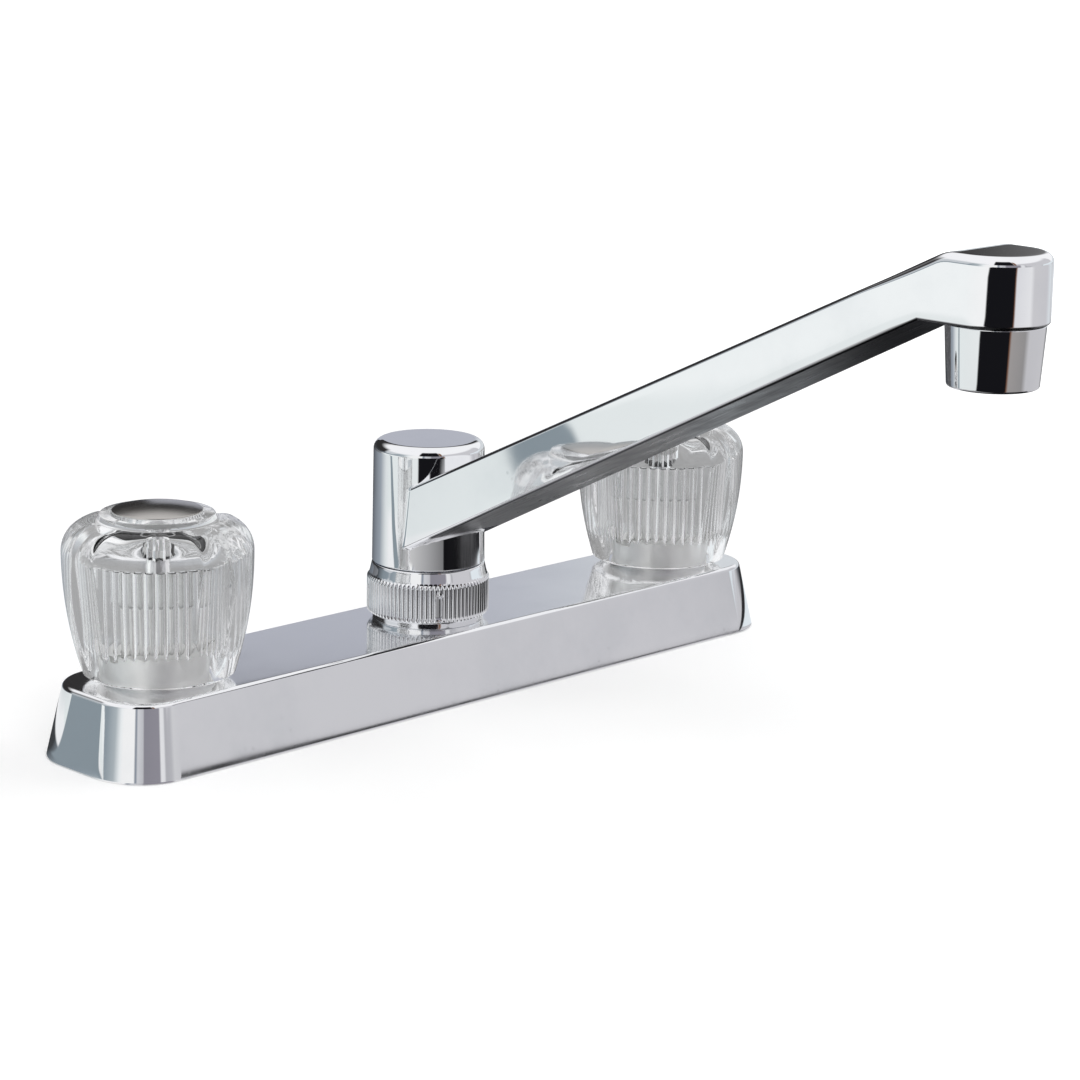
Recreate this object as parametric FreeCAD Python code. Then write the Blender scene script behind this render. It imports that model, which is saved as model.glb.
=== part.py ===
import FreeCAD, Part
import math
import os

os.makedirs("parts", exist_ok=True)

# Two handle kitchen faucet. All sizes are millimetres.
# The deck is the plane z = 0, the spout points to the front, which is -Y,
# and the hot side is the left one, at -X, seen from the front.

# Cover on the deck
handle_spacing = 203.2     # centre to centre, the common three hole sink
cover_overhang = 28.9      # from a handle's axis to the cover's end, at its bottom edge
cover_width = 50.0         # at its bottom edge
cover_top = 21.2           # height of its top face over the deck
cover_lift = 0.3           # the rim stays this far off the deck
cover_corner = 16.5        # corner radius at the bottom edge
cover_lean = 4.1           # each side leans in by this much up to the top
cover_edge = 1.5           # round along the top edge
cover_wall = 2.2
rib_thick = 1.6
rib_count = 3              # cross ribs on each side of the spout post
plate_thick = 2.4          # putty plate between the cover and the deck
plate_gap = 0.3            # from the putty plate to the cover's wall

# Waterway, a casting that carries both valves and the spout post
chamber_radius = 13.0      # valve chamber under the cover
neck_radius = 11.0         # threaded neck over the cover, major radius
neck_top = 28.0
bore_radius = 9.4          # valve bore
seat_level = 12.0          # floor of the valve bore
arm_radius = 4.8           # cross tube outside
arm_bore = 3.0
arm_level = 13.6           # height of the cross tube's axis
post_radius = 14.5         # threaded spout post, major radius
post_base = 17.0
post_top = 30.0
post_bore = 9.4

# Inlet shanks, 1/2-14 straight pipe thread
shank_radius = 10.47
shank_bore = 6.5
shank_bottom = -57.0
spigot_radius = 9.0
spigot_depth = 2.6
inlet_thread = 19.0        # free end that takes the supply's coupling nut
relief_width = 1.0         # groove between that thread and the lock nut's
relief_depth = 0.6
deck_grip = 25.0           # deck and washer stack that the lock nuts clamp
washer_radius = 17.0
washer_thick = 2.0
lock_radius = 14.0
lock_thick = 9.0
wing_reach = 22.0
wing_thick = 3.2
wing_count = 4

# Seat seal and spring in the floor of each valve
seat_offset = 4.6          # off the valve's axis
seat_pocket = 3.6
seat_hole = 2.4
seat_depth = 5.4
seal_height = 3.2
spring_wire = 0.35         # radius of the wire
spring_turns = 2.5

# Stem, sleeve and bonnet nut
stem_radius = 4.0
disc_radius = 9.0
disc_thick = 2.0
port_angle = 66.0          # window in the disc, degrees
port_rim = 1.6
port_root = 2.6
lug_height = 2.4
lug_reach = 8.4
lug_width = 3.0
quarter_turn = 90.0        # from shut to full flow, degrees
stop_slack = 4.0           # spare angle at each end of the quarter turn
sleeve_flange = 1.6
spline_radius = 3.7
spline_depth = 0.45
spline_teeth = 16
spline_length = 13.5
ring_section = 1.15        # thickness of the stem's O-ring
ring_flat = 0.5            # flat of a squeezed O-ring, as a share of its section
ring_level = 22.6
bonnet_radius = 14.4
bonnet_slot = 3.0          # width of the spanner slot across its top
bonnet_slot_depth = 1.4
bonnet_flange = 15.4
bonnet_flange_thick = 1.5
bonnet_lip = 1.9
bonnet_hole = 5.6

# Acrylic knob
knob_bottom = 23.5
knob_foot = 21.0           # outer radius at the bottom
knob_radius = 26.4         # at its widest, on a lobe
knob_wide = 58.0           # height of its widest ring
shoulder_radius = 8.6
lobe_count = 4
groove_radius = 10.6       # section of the hollows between the lobes
groove_depth = 1.6
groove_end_depth = 0.3     # the hollows fade out towards the bottom
collar_radius = 16.0
collar_rise = 1.9          # over the shoulder, at its edge
collar_slope = 0.6         # further rise from the edge to the button
cavity_radius = 18.0
crown_wall = 10.4          # from the cavity up to the shoulder
flute_count = 40
flute_depth = 0.9
skirt_height = 7.6         # plain round mouth under the flutes
boss_radius = 6.4
boss_length = 12.2
button_radius = 12.5
button_sink = 0.4          # seat below the shoulder
button_height = 3.15       # from the seat to the rim
button_crown = 1.6
screw_radius = 2.0
screw_head = 3.9
screw_head_thick = 2.4
screw_length = 13.0

# Spout nut
nut_radius = 18.2          # over the knurl
nut_foot = 16.7
nut_foot_height = 2.0
nut_top = 38.5
knurl_top = 34.6
knurl_count = 80
knurl_depth = 0.55
nut_crown = 16.8
nut_lip = 2.1
slot_width = 2.7
slot_count = 4
slot_angle = 147.0         # of the first slot, degrees from +X
slot_top = 33.4

# Spout
spout_reach = 203.2        # hub axis to outlet axis
hub_radius = 16.8
hub_top_radius = 16.4
hub_bottom = 38.8
hub_top = 75.5
hub_round = 3.0
neck_collar = 12.7         # spout neck inside the nut
slip_groove = 11.4
slip_ring_radius = 14.2
slip_ring_height = 3.8
collar_thick = 1.9
tail_bottom = 18.4
tail_bore = 6.6
tail_ring = 1.9            # O-ring section on the tail
tail_ring_levels = (21.2, 26.0)
arm_half_hub = 15.3        # half width of the arm at the hub's axis
arm_low_hub = 41.7         # underside at the hub's axis
arm_high_hub = 60.3
arm_low_head = 143.5       # underside carried on to the outlet's axis
arm_high_head = 157.3
arm_wall = 2.8
arm_edge = 1.3
head_radius = 13.4
head_bottom = 136.4
head_top = 154.1
head_round = 3.0

# Aerator, 15/16 inch male thread
aerator_thread = 11.9
aerator_thread_length = 6.6
aerator_radius = 12.6
aerator_foot = 11.5
aerator_bottom = 120.3
aerator_bore = 10.2
aerator_mouth = 9.4
aerator_lip = 1.5
aerator_washer = 2.2
washer_bore = 7.5
screen_plate = 1.6
screen_counts = (1, 6, 12) # holes in the rings from the middle out
screen_pitch = 3.2         # between rings
screen_hole = 1.0

# Clearances
running = 0.1              # radial, shaft in bore
thread_fit = 0.1           # radial, mating threads
press = 0.02               # radial, pressed or brazed
gap = 0.3                  # between pieces that move past each other
hole_gap = 0.4             # radial, cover and plate holes

half_spacing = handle_spacing / 2.0
cover_length = handle_spacing + 2 * cover_overhang
tail_radius = post_bore - running
knob_shoulder = knob_wide + shoulder_radius
cavity_top = knob_shoulder - crown_wall
boss_bottom = cavity_top - boss_length
button_seat = knob_shoulder - button_sink
button_rim = button_seat + button_height
cover_inside = cover_top - cover_wall
chamber_floor = plate_thick + spigot_depth
stem_foot = seat_level + gap
sleeve_foot = stem_foot + disc_thick + gap
sleeve_top = neck_top + sleeve_flange
bonnet_top = sleeve_top + bonnet_lip
spline_top = boss_bottom + spline_length
washer_level = -deck_grip
lock_level = washer_level - washer_thick
lock_foot = lock_level - lock_thick


def vec(x, y, z):
    return FreeCAD.Vector(x, y, z)


def rod(radius, low, high, x=0.0, y=0.0):
    return Part.makeCylinder(radius, high - low, vec(x, y, low))


def tube(outer, inner, low, high, x=0.0, y=0.0):
    return rod(outer, low, high, x, y).cut(rod(inner, low - 1.0, high + 1.0, x, y))


def cone(low_radius, high_radius, low, high):
    return Part.makeCone(low_radius, high_radius, high - low, vec(0, 0, low))


def box(x0, x1, y0, y1, z0, z1):
    return Part.makeBox(x1 - x0, y1 - y0, z1 - z0, vec(x0, y0, z0))


def fuse_all(shapes):
    result = shapes[0].multiFuse(shapes[1:]) if len(shapes) > 1 else shapes[0]
    return result.removeSplitter()


def moved(shape, x=0.0, y=0.0, z=0.0):
    copy = shape.copy()
    copy.translate(vec(x, y, z))
    return copy


def turned(shape, degrees, x=0.0, y=0.0):
    copy = shape.copy()
    copy.rotate(vec(x, y, 0), vec(0, 0, 1), degrees)
    return copy


def revolved(edges):
    face = Part.Face(Part.Wire(edges))
    return face.revolve(vec(0, 0, 0), vec(0, 0, 1), 360)


def outline(points):
    # straight edges through (radius, height) points, closed
    places = [vec(r, 0, z) for r, z in points]
    return [Part.LineSegment(a, b).toShape()
            for a, b in zip(places, places[1:] + places[:1])]


def arc_edge(start, middle, end):
    places = [vec(r, 0, z) for r, z in (start, middle, end)]
    return Part.Arc(*places).toShape()


def line_edge(start, end):
    return Part.LineSegment(vec(start[0], 0, start[1]), vec(end[0], 0, end[1])).toShape()


def rounded_rectangle(half_x, half_y, corner, z):
    corners = ((1, 1, 0), (-1, 1, 90), (-1, -1, 180), (1, -1, 270))
    edges = []
    ends = []
    for side_x, side_y, first in corners:
        centre = vec(side_x * (half_x - corner), side_y * (half_y - corner), z)
        angles = [math.radians(first + step) for step in (0, 45, 90)]
        places = [centre + vec(corner * math.cos(a), corner * math.sin(a), 0) for a in angles]
        edges.append(Part.Arc(*places).toShape())
        ends.append((places[0], places[2]))
    sides = []
    for index in range(4):
        sides.append(edges[index])
        sides.append(Part.LineSegment(ends[index][1], ends[(index + 1) % 4][0]).toShape())
    return Part.Wire(sides)


def leaning_block(inset, low, high):
    # the cover's outline moved in by inset, with the same lean on all sides
    wires = []
    for z in (low, high):
        lean = cover_lean * z / cover_top + inset
        wires.append(rounded_rectangle(cover_length / 2 - lean, cover_width / 2 - lean,
                                       cover_corner - lean * 0.5, z))
    return Part.makeLoft(wires, True, True)


def star(outer, inner, teeth, low, high):
    # prism with pointed teeth all round
    places = []
    for step in range(2 * teeth):
        radius = outer if step % 2 == 0 else inner
        angle = math.pi * step / teeth
        places.append(vec(radius * math.cos(angle), radius * math.sin(angle), low))
    face = Part.Face(Part.makePolygon(places + places[:1]))
    return face.extrude(vec(0, 0, high - low))


def o_ring(inner, section, level):
    # squeezed in its groove, so its section has flats and leaning corners
    half = section / 2
    flat = half * ring_flat
    middle = inner + half
    return revolved(outline([(middle - half, level - flat), (middle - flat, level - half),
                             (middle + flat, level - half), (middle + half, level - flat),
                             (middle + half, level + flat), (middle + flat, level + half),
                             (middle - flat, level + half), (middle - half, level + flat)]))


def make_cover():
    shell = leaning_block(0.0, cover_lift, cover_top)
    rim = [e for e in shell.Edges if abs(e.BoundBox.ZMin - cover_top) < 0.01]
    shell = shell.makeFillet(cover_edge, rim)
    shell = shell.cut(leaning_block(cover_wall, cover_lift - 1.0, cover_inside))
    ribs = []
    span = half_spacing - chamber_radius - post_base
    for side in (-1, 1):
        for index in range(rib_count):
            x = side * (post_base + span * (index + 1) / (rib_count + 1))
            ribs.append(box(x - rib_thick / 2, x + rib_thick / 2,
                            -cover_width, cover_width,
                            arm_level + arm_radius + gap, cover_inside + 0.5))
    ribs = [rib.common(leaning_block(cover_wall * 0.5, 0.0, cover_inside + 0.5)) for rib in ribs]
    shell = fuse_all([shell] + ribs)
    holes = [rod(neck_radius + hole_gap, 0, cover_top + 1, side * half_spacing)
             for side in (-1, 1)]
    holes.append(rod(post_radius + hole_gap, 0, cover_top + 1))
    for hole in holes:
        shell = shell.cut(hole)
    return shell


def make_putty_plate():
    plate = leaning_block(cover_wall + plate_gap + cover_lean * plate_thick / cover_top,
                          0.0, plate_thick)
    for side in (-1, 1):
        plate = plate.cut(rod(shank_radius + hole_gap, -1, plate_thick + 1,
                              side * half_spacing))
    return plate


def make_waterway():
    pieces = [rod(post_base, plate_thick, cover_inside), rod(post_radius, plate_thick, post_top)]
    for side in (-1, 1):
        x = side * half_spacing
        pieces.append(rod(chamber_radius, plate_thick, cover_inside, x))
        pieces.append(rod(neck_radius, plate_thick, neck_top, x))
    pieces.append(Part.makeCylinder(arm_radius, handle_spacing,
                                    vec(-half_spacing, 0, arm_level), vec(1, 0, 0)))
    foot = box(-half_spacing, half_spacing, -rib_thick, rib_thick, plate_thick, arm_level)
    body = fuse_all(pieces + [foot])
    cuts = [rod(post_bore, arm_level - arm_bore - 1.0, post_top + 1)]
    for side in (-1, 1):
        x = side * half_spacing
        cuts.append(rod(bore_radius, seat_level, neck_top + 1, x))
        cuts.append(rod(spigot_radius + press, plate_thick - 1, chamber_floor, x))
        cuts.append(rod(seat_pocket + running, seat_level - seat_depth, seat_level + 1,
                        x, -seat_offset))
        cuts.append(rod(seat_hole, plate_thick, seat_level, x, -seat_offset))
        start = min(side * (half_spacing - bore_radius + 1.0), 0.0)
        length = half_spacing - bore_radius + 1.0
        cuts.append(Part.makeCylinder(arm_bore, length, vec(start, 0, arm_level), vec(1, 0, 0)))
    for tool in cuts:
        body = body.cut(tool)
    return body


def make_shank(side):
    x = side * half_spacing
    shank = rod(shank_radius, shank_bottom, plate_thick, x)
    shank = shank.fuse(rod(spigot_radius, plate_thick, chamber_floor, x)).removeSplitter()
    shank = shank.cut(rod(shank_bore, shank_bottom - 1, chamber_floor + 1, x))
    relief = shank_bottom + inlet_thread
    return shank.cut(tube(shank_radius + 1, shank_radius - relief_depth,
                          relief, relief + relief_width, x))


def make_lock_washers():
    rings = [tube(washer_radius, shank_radius + hole_gap, lock_level, washer_level,
                  side * half_spacing) for side in (-1, 1)]
    return Part.makeCompound(rings)


def make_lock_nut():
    body = rod(lock_radius, lock_foot, lock_level)
    wings = [turned(box(0, wing_reach, -wing_thick / 2, wing_thick / 2, lock_foot, lock_level),
                    index * 360.0 / wing_count) for index in range(wing_count)]
    body = fuse_all([body] + wings)
    return body.cut(rod(shank_radius + thread_fit, lock_foot - 1, lock_level + 1))


def pair_of(shape):
    return Part.makeCompound([moved(shape, x=-half_spacing), moved(shape, x=half_spacing)])


def make_seat_seal():
    low = seat_level - seal_height
    return tube(seat_pocket, seat_hole, low, seat_level, 0.0, -seat_offset)


def make_seat_spring():
    low = seat_level - seat_depth
    height = seat_depth - seal_height
    coil = (seat_pocket + seat_hole) / 2
    rise = height - 2 * spring_wire
    helix = Part.makeHelix(rise / spring_turns, rise, coil)
    corners = [vec(coil + spring_wire * math.cos(math.radians(a)), 0,
                   spring_wire * math.sin(math.radians(a))) for a in range(0, 361, 60)]
    spring = Part.Wire(helix.Edges).makePipeShell([Part.makePolygon(corners)], True, True)
    return moved(spring, 0.0, -seat_offset, low + spring_wire)


def sector(radius, low, high, start, sweep):
    # a slice of a disc from the angle start over the angle sweep, degrees
    slice_shape = Part.makeCylinder(radius, high - low, vec(0, 0, low), vec(0, 0, 1), sweep)
    return turned(slice_shape, start)


def make_sleeve(side):
    sleeve = rod(bore_radius - running, sleeve_foot, neck_top)
    sleeve = sleeve.fuse(rod(neck_radius - gap, neck_top, sleeve_top)).removeSplitter()
    sleeve = sleeve.cut(rod(stem_radius + running, 0, sleeve_top + 1))
    reach = math.degrees(math.asin(lug_width / 2 / stem_radius))
    # hot opens anticlockwise seen from above, cold clockwise
    start = 90.0 - reach - stop_slack - (quarter_turn if side > 0 else 0.0)
    room = sector(lug_reach + gap, sleeve_foot - 1, sleeve_foot + lug_height + gap,
                  start, quarter_turn + 2 * (reach + stop_slack))
    sleeve = sleeve.cut(room)
    window = box(-bore_radius - 1, bore_radius + 1, -arm_bore, arm_bore,
                 sleeve_foot - 1, sleeve_foot + lug_height)
    return sleeve.cut(window)


def make_stem(side):
    stem = rod(stem_radius, stem_foot, boss_bottom)
    disc = rod(disc_radius, stem_foot, stem_foot + disc_thick)
    # the window lies a quarter turn off the seat while the valve is shut
    middle = 270.0 + side * quarter_turn
    window = sector(disc_radius - port_rim, stem_foot - 1, stem_foot + disc_thick + 1,
                    middle - port_angle / 2, port_angle)
    window = window.cut(rod(port_root, stem_foot - 2, stem_foot + disc_thick + 2))
    lug = box(0, lug_reach, -lug_width / 2, lug_width / 2,
              stem_foot, stem_foot + disc_thick + lug_height)
    lug = turned(lug.common(rod(lug_reach, 0, sleeve_top)), quarter_turn)
    spline = star(spline_radius, spline_radius - spline_depth, spline_teeth,
                  boss_bottom - 1.0, spline_top)
    stem = fuse_all([stem, disc, lug, spline]).cut(window)
    groove = tube(stem_radius + 1, stem_radius - ring_section, ring_level - ring_section * 0.7,
                  ring_level + ring_section * 0.7)
    stem = stem.cut(groove)
    return stem.cut(rod(screw_radius + thread_fit, button_seat - screw_head_thick - gap
                        - screw_length - 1.5, spline_top + 1))


def make_bonnet_nut():
    nut = fuse_all([rod(bonnet_flange, cover_top, cover_top + bonnet_flange_thick),
                    rod(bonnet_radius, cover_top, bonnet_top)])
    nut = nut.cut(box(-bonnet_radius - 1, bonnet_radius + 1, -bonnet_slot / 2, bonnet_slot / 2,
                      bonnet_top - bonnet_slot_depth, bonnet_top + 1))
    nut = nut.cut(rod(neck_radius + thread_fit, cover_top - 1, sleeve_top))
    return nut.cut(rod(bonnet_hole, sleeve_top - 1, bonnet_top + 1))


def knob_profile():
    # the side bulges on one arc that stands upright where the knob is widest
    drop = knob_wide - knob_bottom
    inset = knob_radius - knob_foot
    bulge = (drop * drop + inset * inset) / (2.0 * inset)
    half = drop * 0.5
    middle = (knob_radius - bulge + math.sqrt(bulge * bulge - half * half), knob_wide - half)
    centre = knob_radius - shoulder_radius
    shoulder = knob_wide + shoulder_radius
    corner = shoulder_radius * math.sqrt(0.5)
    edge_top = shoulder + collar_rise
    collar_top = edge_top + collar_slope
    foot = (knob_foot, knob_bottom)
    wide = (knob_radius, knob_wide)
    edges = [line_edge((0, knob_bottom), foot),
             arc_edge(foot, middle, wide),
             arc_edge(wide, (centre + corner, knob_wide + corner), (centre, shoulder)),
             line_edge((centre, shoulder), (collar_radius + 0.7, shoulder)),
             line_edge((collar_radius + 0.7, shoulder), (collar_radius, shoulder + 0.9)),
             line_edge((collar_radius, shoulder + 0.9), (collar_radius - 0.5, edge_top)),
             line_edge((collar_radius - 0.5, edge_top), (button_radius + gap, collar_top)),
             line_edge((button_radius + gap, collar_top), (0, collar_top)),
             line_edge((0, collar_top), (0, knob_bottom))]
    return revolved(edges)


def make_groove():
    # round tool that runs up the side of the knob, over the shoulder and inwards
    out = groove_radius - groove_depth
    centre = knob_radius - shoulder_radius
    sweep = shoulder_radius + out
    foot = vec(knob_foot + groove_radius - groove_end_depth, 0, knob_bottom - 1.0)
    lean = math.atan2(centre + sweep - foot.x, knob_wide - foot.z)
    start = vec(centre + sweep * math.cos(lean), 0, knob_wide - sweep * math.sin(lean))
    along = start - foot
    ring = Part.Face(Part.Wire(Part.Circle(start, along, groove_radius).toShape()))
    side = ring.extrude(along * -1.0)
    turn = ring.revolve(vec(centre, 0, knob_wide), vec(0, -1, 0), 90.0 + math.degrees(lean))
    return side.fuse(turn)


def make_knob():
    knob = knob_profile()
    groove = make_groove()
    for index in range(lobe_count):
        knob = knob.cut(turned(groove, index * 360.0 / lobe_count))
    flutes = star(cavity_radius, cavity_radius - flute_depth, flute_count,
                  knob_bottom + skirt_height, cavity_top)
    mouth = rod(cavity_radius - flute_depth / 2, knob_bottom - 1, knob_bottom + skirt_height)
    boss = rod(boss_radius, boss_bottom, cavity_top + 1)
    cavity = fuse_all([flutes, mouth]).cut(boss)
    knob = knob.cut(cavity)
    socket = star(spline_radius + running, spline_radius - spline_depth + running,
                  spline_teeth, boss_bottom - 1, spline_top + gap)
    knob = knob.cut(socket)
    knob = knob.cut(rod(screw_radius + gap, boss_bottom, button_seat + 1))
    knob = knob.cut(rod(screw_head + gap, button_seat - screw_head_thick - gap, button_seat + 1))
    return knob.cut(rod(button_radius + running, button_seat, button_rim + 9))


def make_button():
    bow = (button_radius ** 2 + button_crown ** 2) / (2 * button_crown)
    half = button_radius * 0.5
    middle = (half, button_rim + button_crown - bow + math.sqrt(bow * bow - half * half))
    edges = [line_edge((0, button_seat), (button_radius, button_seat)),
             line_edge((button_radius, button_seat), (button_radius, button_rim)),
             arc_edge((button_radius, button_rim), middle, (0, button_rim + button_crown)),
             line_edge((0, button_rim + button_crown), (0, button_seat))]
    return revolved(edges)


def make_screw():
    seat = button_seat - screw_head_thick - gap
    head = rod(screw_head, seat, seat + screw_head_thick)
    slot = box(-screw_head, screw_head, -0.5, 0.5, seat + screw_head_thick - 1.0,
               seat + screw_head_thick + 1)
    return fuse_all([head.cut(slot), rod(screw_radius, seat - screw_length, seat)])


def make_spout_nut():
    knurl = star(nut_radius, nut_radius - knurl_depth, knurl_count,
                 cover_top + nut_foot_height, knurl_top)
    foot = rod(nut_foot, cover_top, cover_top + nut_foot_height)
    crown = cone(nut_radius - knurl_depth / 2, nut_crown, knurl_top, nut_top)
    nut = fuse_all([foot, knurl, crown])
    nut = nut.cut(rod(post_radius + thread_fit, cover_top - 1, nut_top - nut_lip))
    nut = nut.cut(rod(neck_collar + gap, nut_top - nut_lip - 1, nut_top + 1))
    arch = slot_width / 2
    slot = box(nut_radius - knurl_depth * 2.6, nut_radius + 1, -arch, arch,
               cover_top + nut_foot_height, slot_top - arch)
    crest = Part.makeCylinder(arch, knurl_depth * 2.6 + 1,
                              vec(nut_radius - knurl_depth * 2.6, 0, slot_top - arch),
                              vec(1, 0, 0))
    tool = slot.fuse(crest)
    for index in range(slot_count):
        nut = nut.cut(turned(tool, slot_angle + index * 360.0 / slot_count))
    return nut


def arm_level_at(distance, hub_value, head_value):
    return hub_value + (head_value - hub_value) * distance / spout_reach


def arm_block(inset, start, end):
    # the arm's outline from above, drawn upwards, meets its outline from the side
    plan = []
    side = []
    for distance in (start, end):
        half = arm_level_at(distance, arm_half_hub, head_radius) - inset
        low = arm_level_at(distance, arm_low_hub, arm_low_head) + inset
        high = arm_level_at(distance, arm_high_hub, arm_high_head) - inset
        plan.append((vec(-half, -distance, 0), vec(half, -distance, 0)))
        side.append((vec(-hub_radius, -distance, low), vec(-hub_radius, -distance, high)))
    loops = []
    for ends in (plan, side):
        loop = [ends[0][0], ends[0][1], ends[1][1], ends[1][0]]
        loops.append(Part.Face(Part.makePolygon(loop + loop[:1])))
    block = loops[0].extrude(vec(0, 0, arm_high_head))
    return block.common(loops[1].extrude(vec(2 * hub_radius, 0, 0)))


def make_arm():
    arm = arm_block(0.0, 0.0, spout_reach)
    long_edges = [e for e in arm.Edges if e.Length > spout_reach * 0.9]
    arm = arm.makeFillet(arm_edge, long_edges)
    return arm.common(box(-hub_radius, hub_radius, -spout_reach, 0,
                          0, head_top - head_round * 0.35))


def make_head():
    head = rod(head_radius, head_bottom, head_top, 0.0, -spout_reach)
    rim = [e for e in head.Edges if abs(e.BoundBox.ZMin - head_top) < 0.01
           and abs(e.BoundBox.ZMax - head_top) < 0.01]
    head = head.makeFillet(head_round, rim)
    slope = (arm_low_head - arm_low_hub) / spout_reach
    meet = (head_bottom - arm_low_hub) / slope
    cheek = box(-head_radius, head_radius, -spout_reach, -meet, head_bottom,
                arm_level_at(meet, arm_low_hub, arm_low_head) + head_radius)
    return head.fuse(cheek)


def make_hub():
    hub = cone(hub_radius, hub_top_radius, hub_bottom, hub_top)
    rim = [e for e in hub.Edges if abs(e.BoundBox.ZMin - hub_top) < 0.01
           and abs(e.BoundBox.ZMax - hub_top) < 0.01]
    return hub.makeFillet(hub_round, rim)


def make_spout():
    collar_bottom = post_top + gap
    groove_bottom = collar_bottom + collar_thick
    groove_top = groove_bottom + slip_ring_height + 2 * running
    pieces = [make_hub(), make_arm(), make_head(),
              rod(neck_collar, groove_top, hub_bottom + 1),
              rod(slip_groove, collar_bottom, hub_bottom + 1),
              rod(neck_collar, collar_bottom, groove_bottom),
              rod(tail_radius, tail_bottom, collar_bottom + 1)]
    spout = fuse_all(pieces)
    for level in tail_ring_levels:
        spout = spout.cut(tube(tail_radius + 1, post_bore - tail_ring,
                               level - tail_ring * 0.6, level + tail_ring * 0.6))
    channel_low = arm_level_at(0.0, arm_low_hub, arm_low_head) + arm_wall
    spout = spout.cut(rod(tail_bore, tail_bottom - 1, channel_low + tail_bore))
    channel = arm_block(arm_wall, hub_radius * 0.2, spout_reach - head_radius * 0.4)
    spout = spout.cut(channel)
    thread_top = head_bottom + aerator_thread_length + aerator_washer
    spout = spout.cut(rod(aerator_thread + thread_fit, head_bottom - 1, thread_top,
                          0.0, -spout_reach))
    return spout.cut(rod(washer_bore + 1.0, head_bottom, head_top - arm_wall * 1.8,
                         0.0, -spout_reach))


def make_tail_rings():
    section = tail_ring - running
    rings = [o_ring(post_bore - section - running / 2, section, level)
             for level in tail_ring_levels]
    return Part.makeCompound(rings)


def make_slip_ring():
    low = post_top + gap + collar_thick + running
    ring = tube(slip_ring_radius, slip_groove + running, low, low + slip_ring_height)
    split = box(0, slip_ring_radius + 1, -0.8, 0.8, low - 1, low + slip_ring_height + 1)
    return ring.cut(split)


def make_aerator_housing():
    top = head_bottom + aerator_thread_length
    points = [(aerator_mouth, aerator_bottom), (aerator_foot - 0.5, aerator_bottom),
              (aerator_foot, aerator_bottom + 0.5), (aerator_radius, head_bottom),
              (aerator_thread, head_bottom), (aerator_thread, top), (aerator_bore, top),
              (aerator_bore, aerator_bottom + aerator_lip),
              (aerator_mouth, aerator_bottom + aerator_lip)]
    return moved(revolved(outline(points)), y=-spout_reach)


def make_aerator_insert():
    low = aerator_bottom + aerator_lip
    top = head_bottom + aerator_thread_length
    insert = rod(aerator_bore - running, low, top)
    insert = insert.cut(rod(aerator_bore - screen_plate, low + screen_plate, top + 1))
    for ring, count in enumerate(screen_counts):
        for index in range(count):
            hole = rod(screen_hole, low - 1, top + 1, ring * screen_pitch)
            insert = insert.cut(turned(hole, index * 360.0 / count))
    return moved(insert, y=-spout_reach)


def make_aerator_washer():
    low = head_bottom + aerator_thread_length
    return tube(aerator_thread - running, washer_bore, low, low + aerator_washer,
                0.0, -spout_reach)


def save(name, shape):
    shape.exportStep("parts/" + name + ".step")
    print(name, shape.isValid(), len(shape.Solids), round(shape.Volume, 1))


save("base_cover", make_cover())
save("putty_plate", make_putty_plate())
save("waterway_body", make_waterway())
save("lock_washers", make_lock_washers())
save("lock_nuts", pair_of(make_lock_nut()))
save("seat_seals", pair_of(make_seat_seal()))
save("seat_springs", pair_of(make_seat_spring()))
save("bonnet_nuts", pair_of(make_bonnet_nut()))
save("spout_nut", make_spout_nut())
for name, side in (("hot", -1), ("cold", 1)):
    place = side * half_spacing
    save(name + "_inlet_shank", make_shank(side))
    save(name + "_valve_sleeve", moved(make_sleeve(side), x=place))
    save(name + "_valve_stem", moved(make_stem(side), x=place))
    save(name + "_stem_o_ring",
         moved(o_ring(stem_radius - ring_section + 0.05, ring_section - 0.05, ring_level),
               x=place))
    save(name + "_knob", moved(make_knob(), x=place))
    save(name + "_handle_screw", moved(make_screw(), x=place))
    save(name + "_index_button", moved(make_button(), x=place))
save("spout", make_spout())
save("spout_o_rings", make_tail_rings())
save("spout_slip_ring", make_slip_ring())
save("aerator_housing", make_aerator_housing())
save("aerator_insert", make_aerator_insert())
save("aerator_washer", make_aerator_washer())
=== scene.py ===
import math
import bmesh
import bpy
import numpy as np
from mathutils import Matrix, Vector
from mathutils.geometry import delaunay_2d_cdt


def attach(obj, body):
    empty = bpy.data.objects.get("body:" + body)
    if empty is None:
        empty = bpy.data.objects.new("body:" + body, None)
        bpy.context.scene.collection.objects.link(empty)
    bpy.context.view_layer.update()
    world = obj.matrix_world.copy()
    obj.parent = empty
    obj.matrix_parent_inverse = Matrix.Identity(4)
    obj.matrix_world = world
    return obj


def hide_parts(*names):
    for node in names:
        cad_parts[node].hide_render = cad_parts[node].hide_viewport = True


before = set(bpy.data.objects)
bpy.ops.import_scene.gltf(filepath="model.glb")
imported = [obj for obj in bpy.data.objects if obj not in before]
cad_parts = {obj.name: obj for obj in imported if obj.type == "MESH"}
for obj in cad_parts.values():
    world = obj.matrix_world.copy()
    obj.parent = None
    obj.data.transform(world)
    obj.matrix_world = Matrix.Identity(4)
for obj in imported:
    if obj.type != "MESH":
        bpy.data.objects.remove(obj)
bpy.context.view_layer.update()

# Two handle kitchen faucet. Lengths below are millimetres and become metres in the meshes.
# The deck is z = 0, the spout points to -Y and the hot handle stands at -X.

mm = 0.001
handleReach = 101.6   # from the middle to each handle
coverTop = 21.2


def smoothStep(low, high, value):
    # 0 below low, 1 above high, and 3t^2 - 2t^3 between
    t = np.clip((value - low) / (high - low), 0.0, 1.0)
    return t * t * (3.0 - 2.0 * t)


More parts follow.
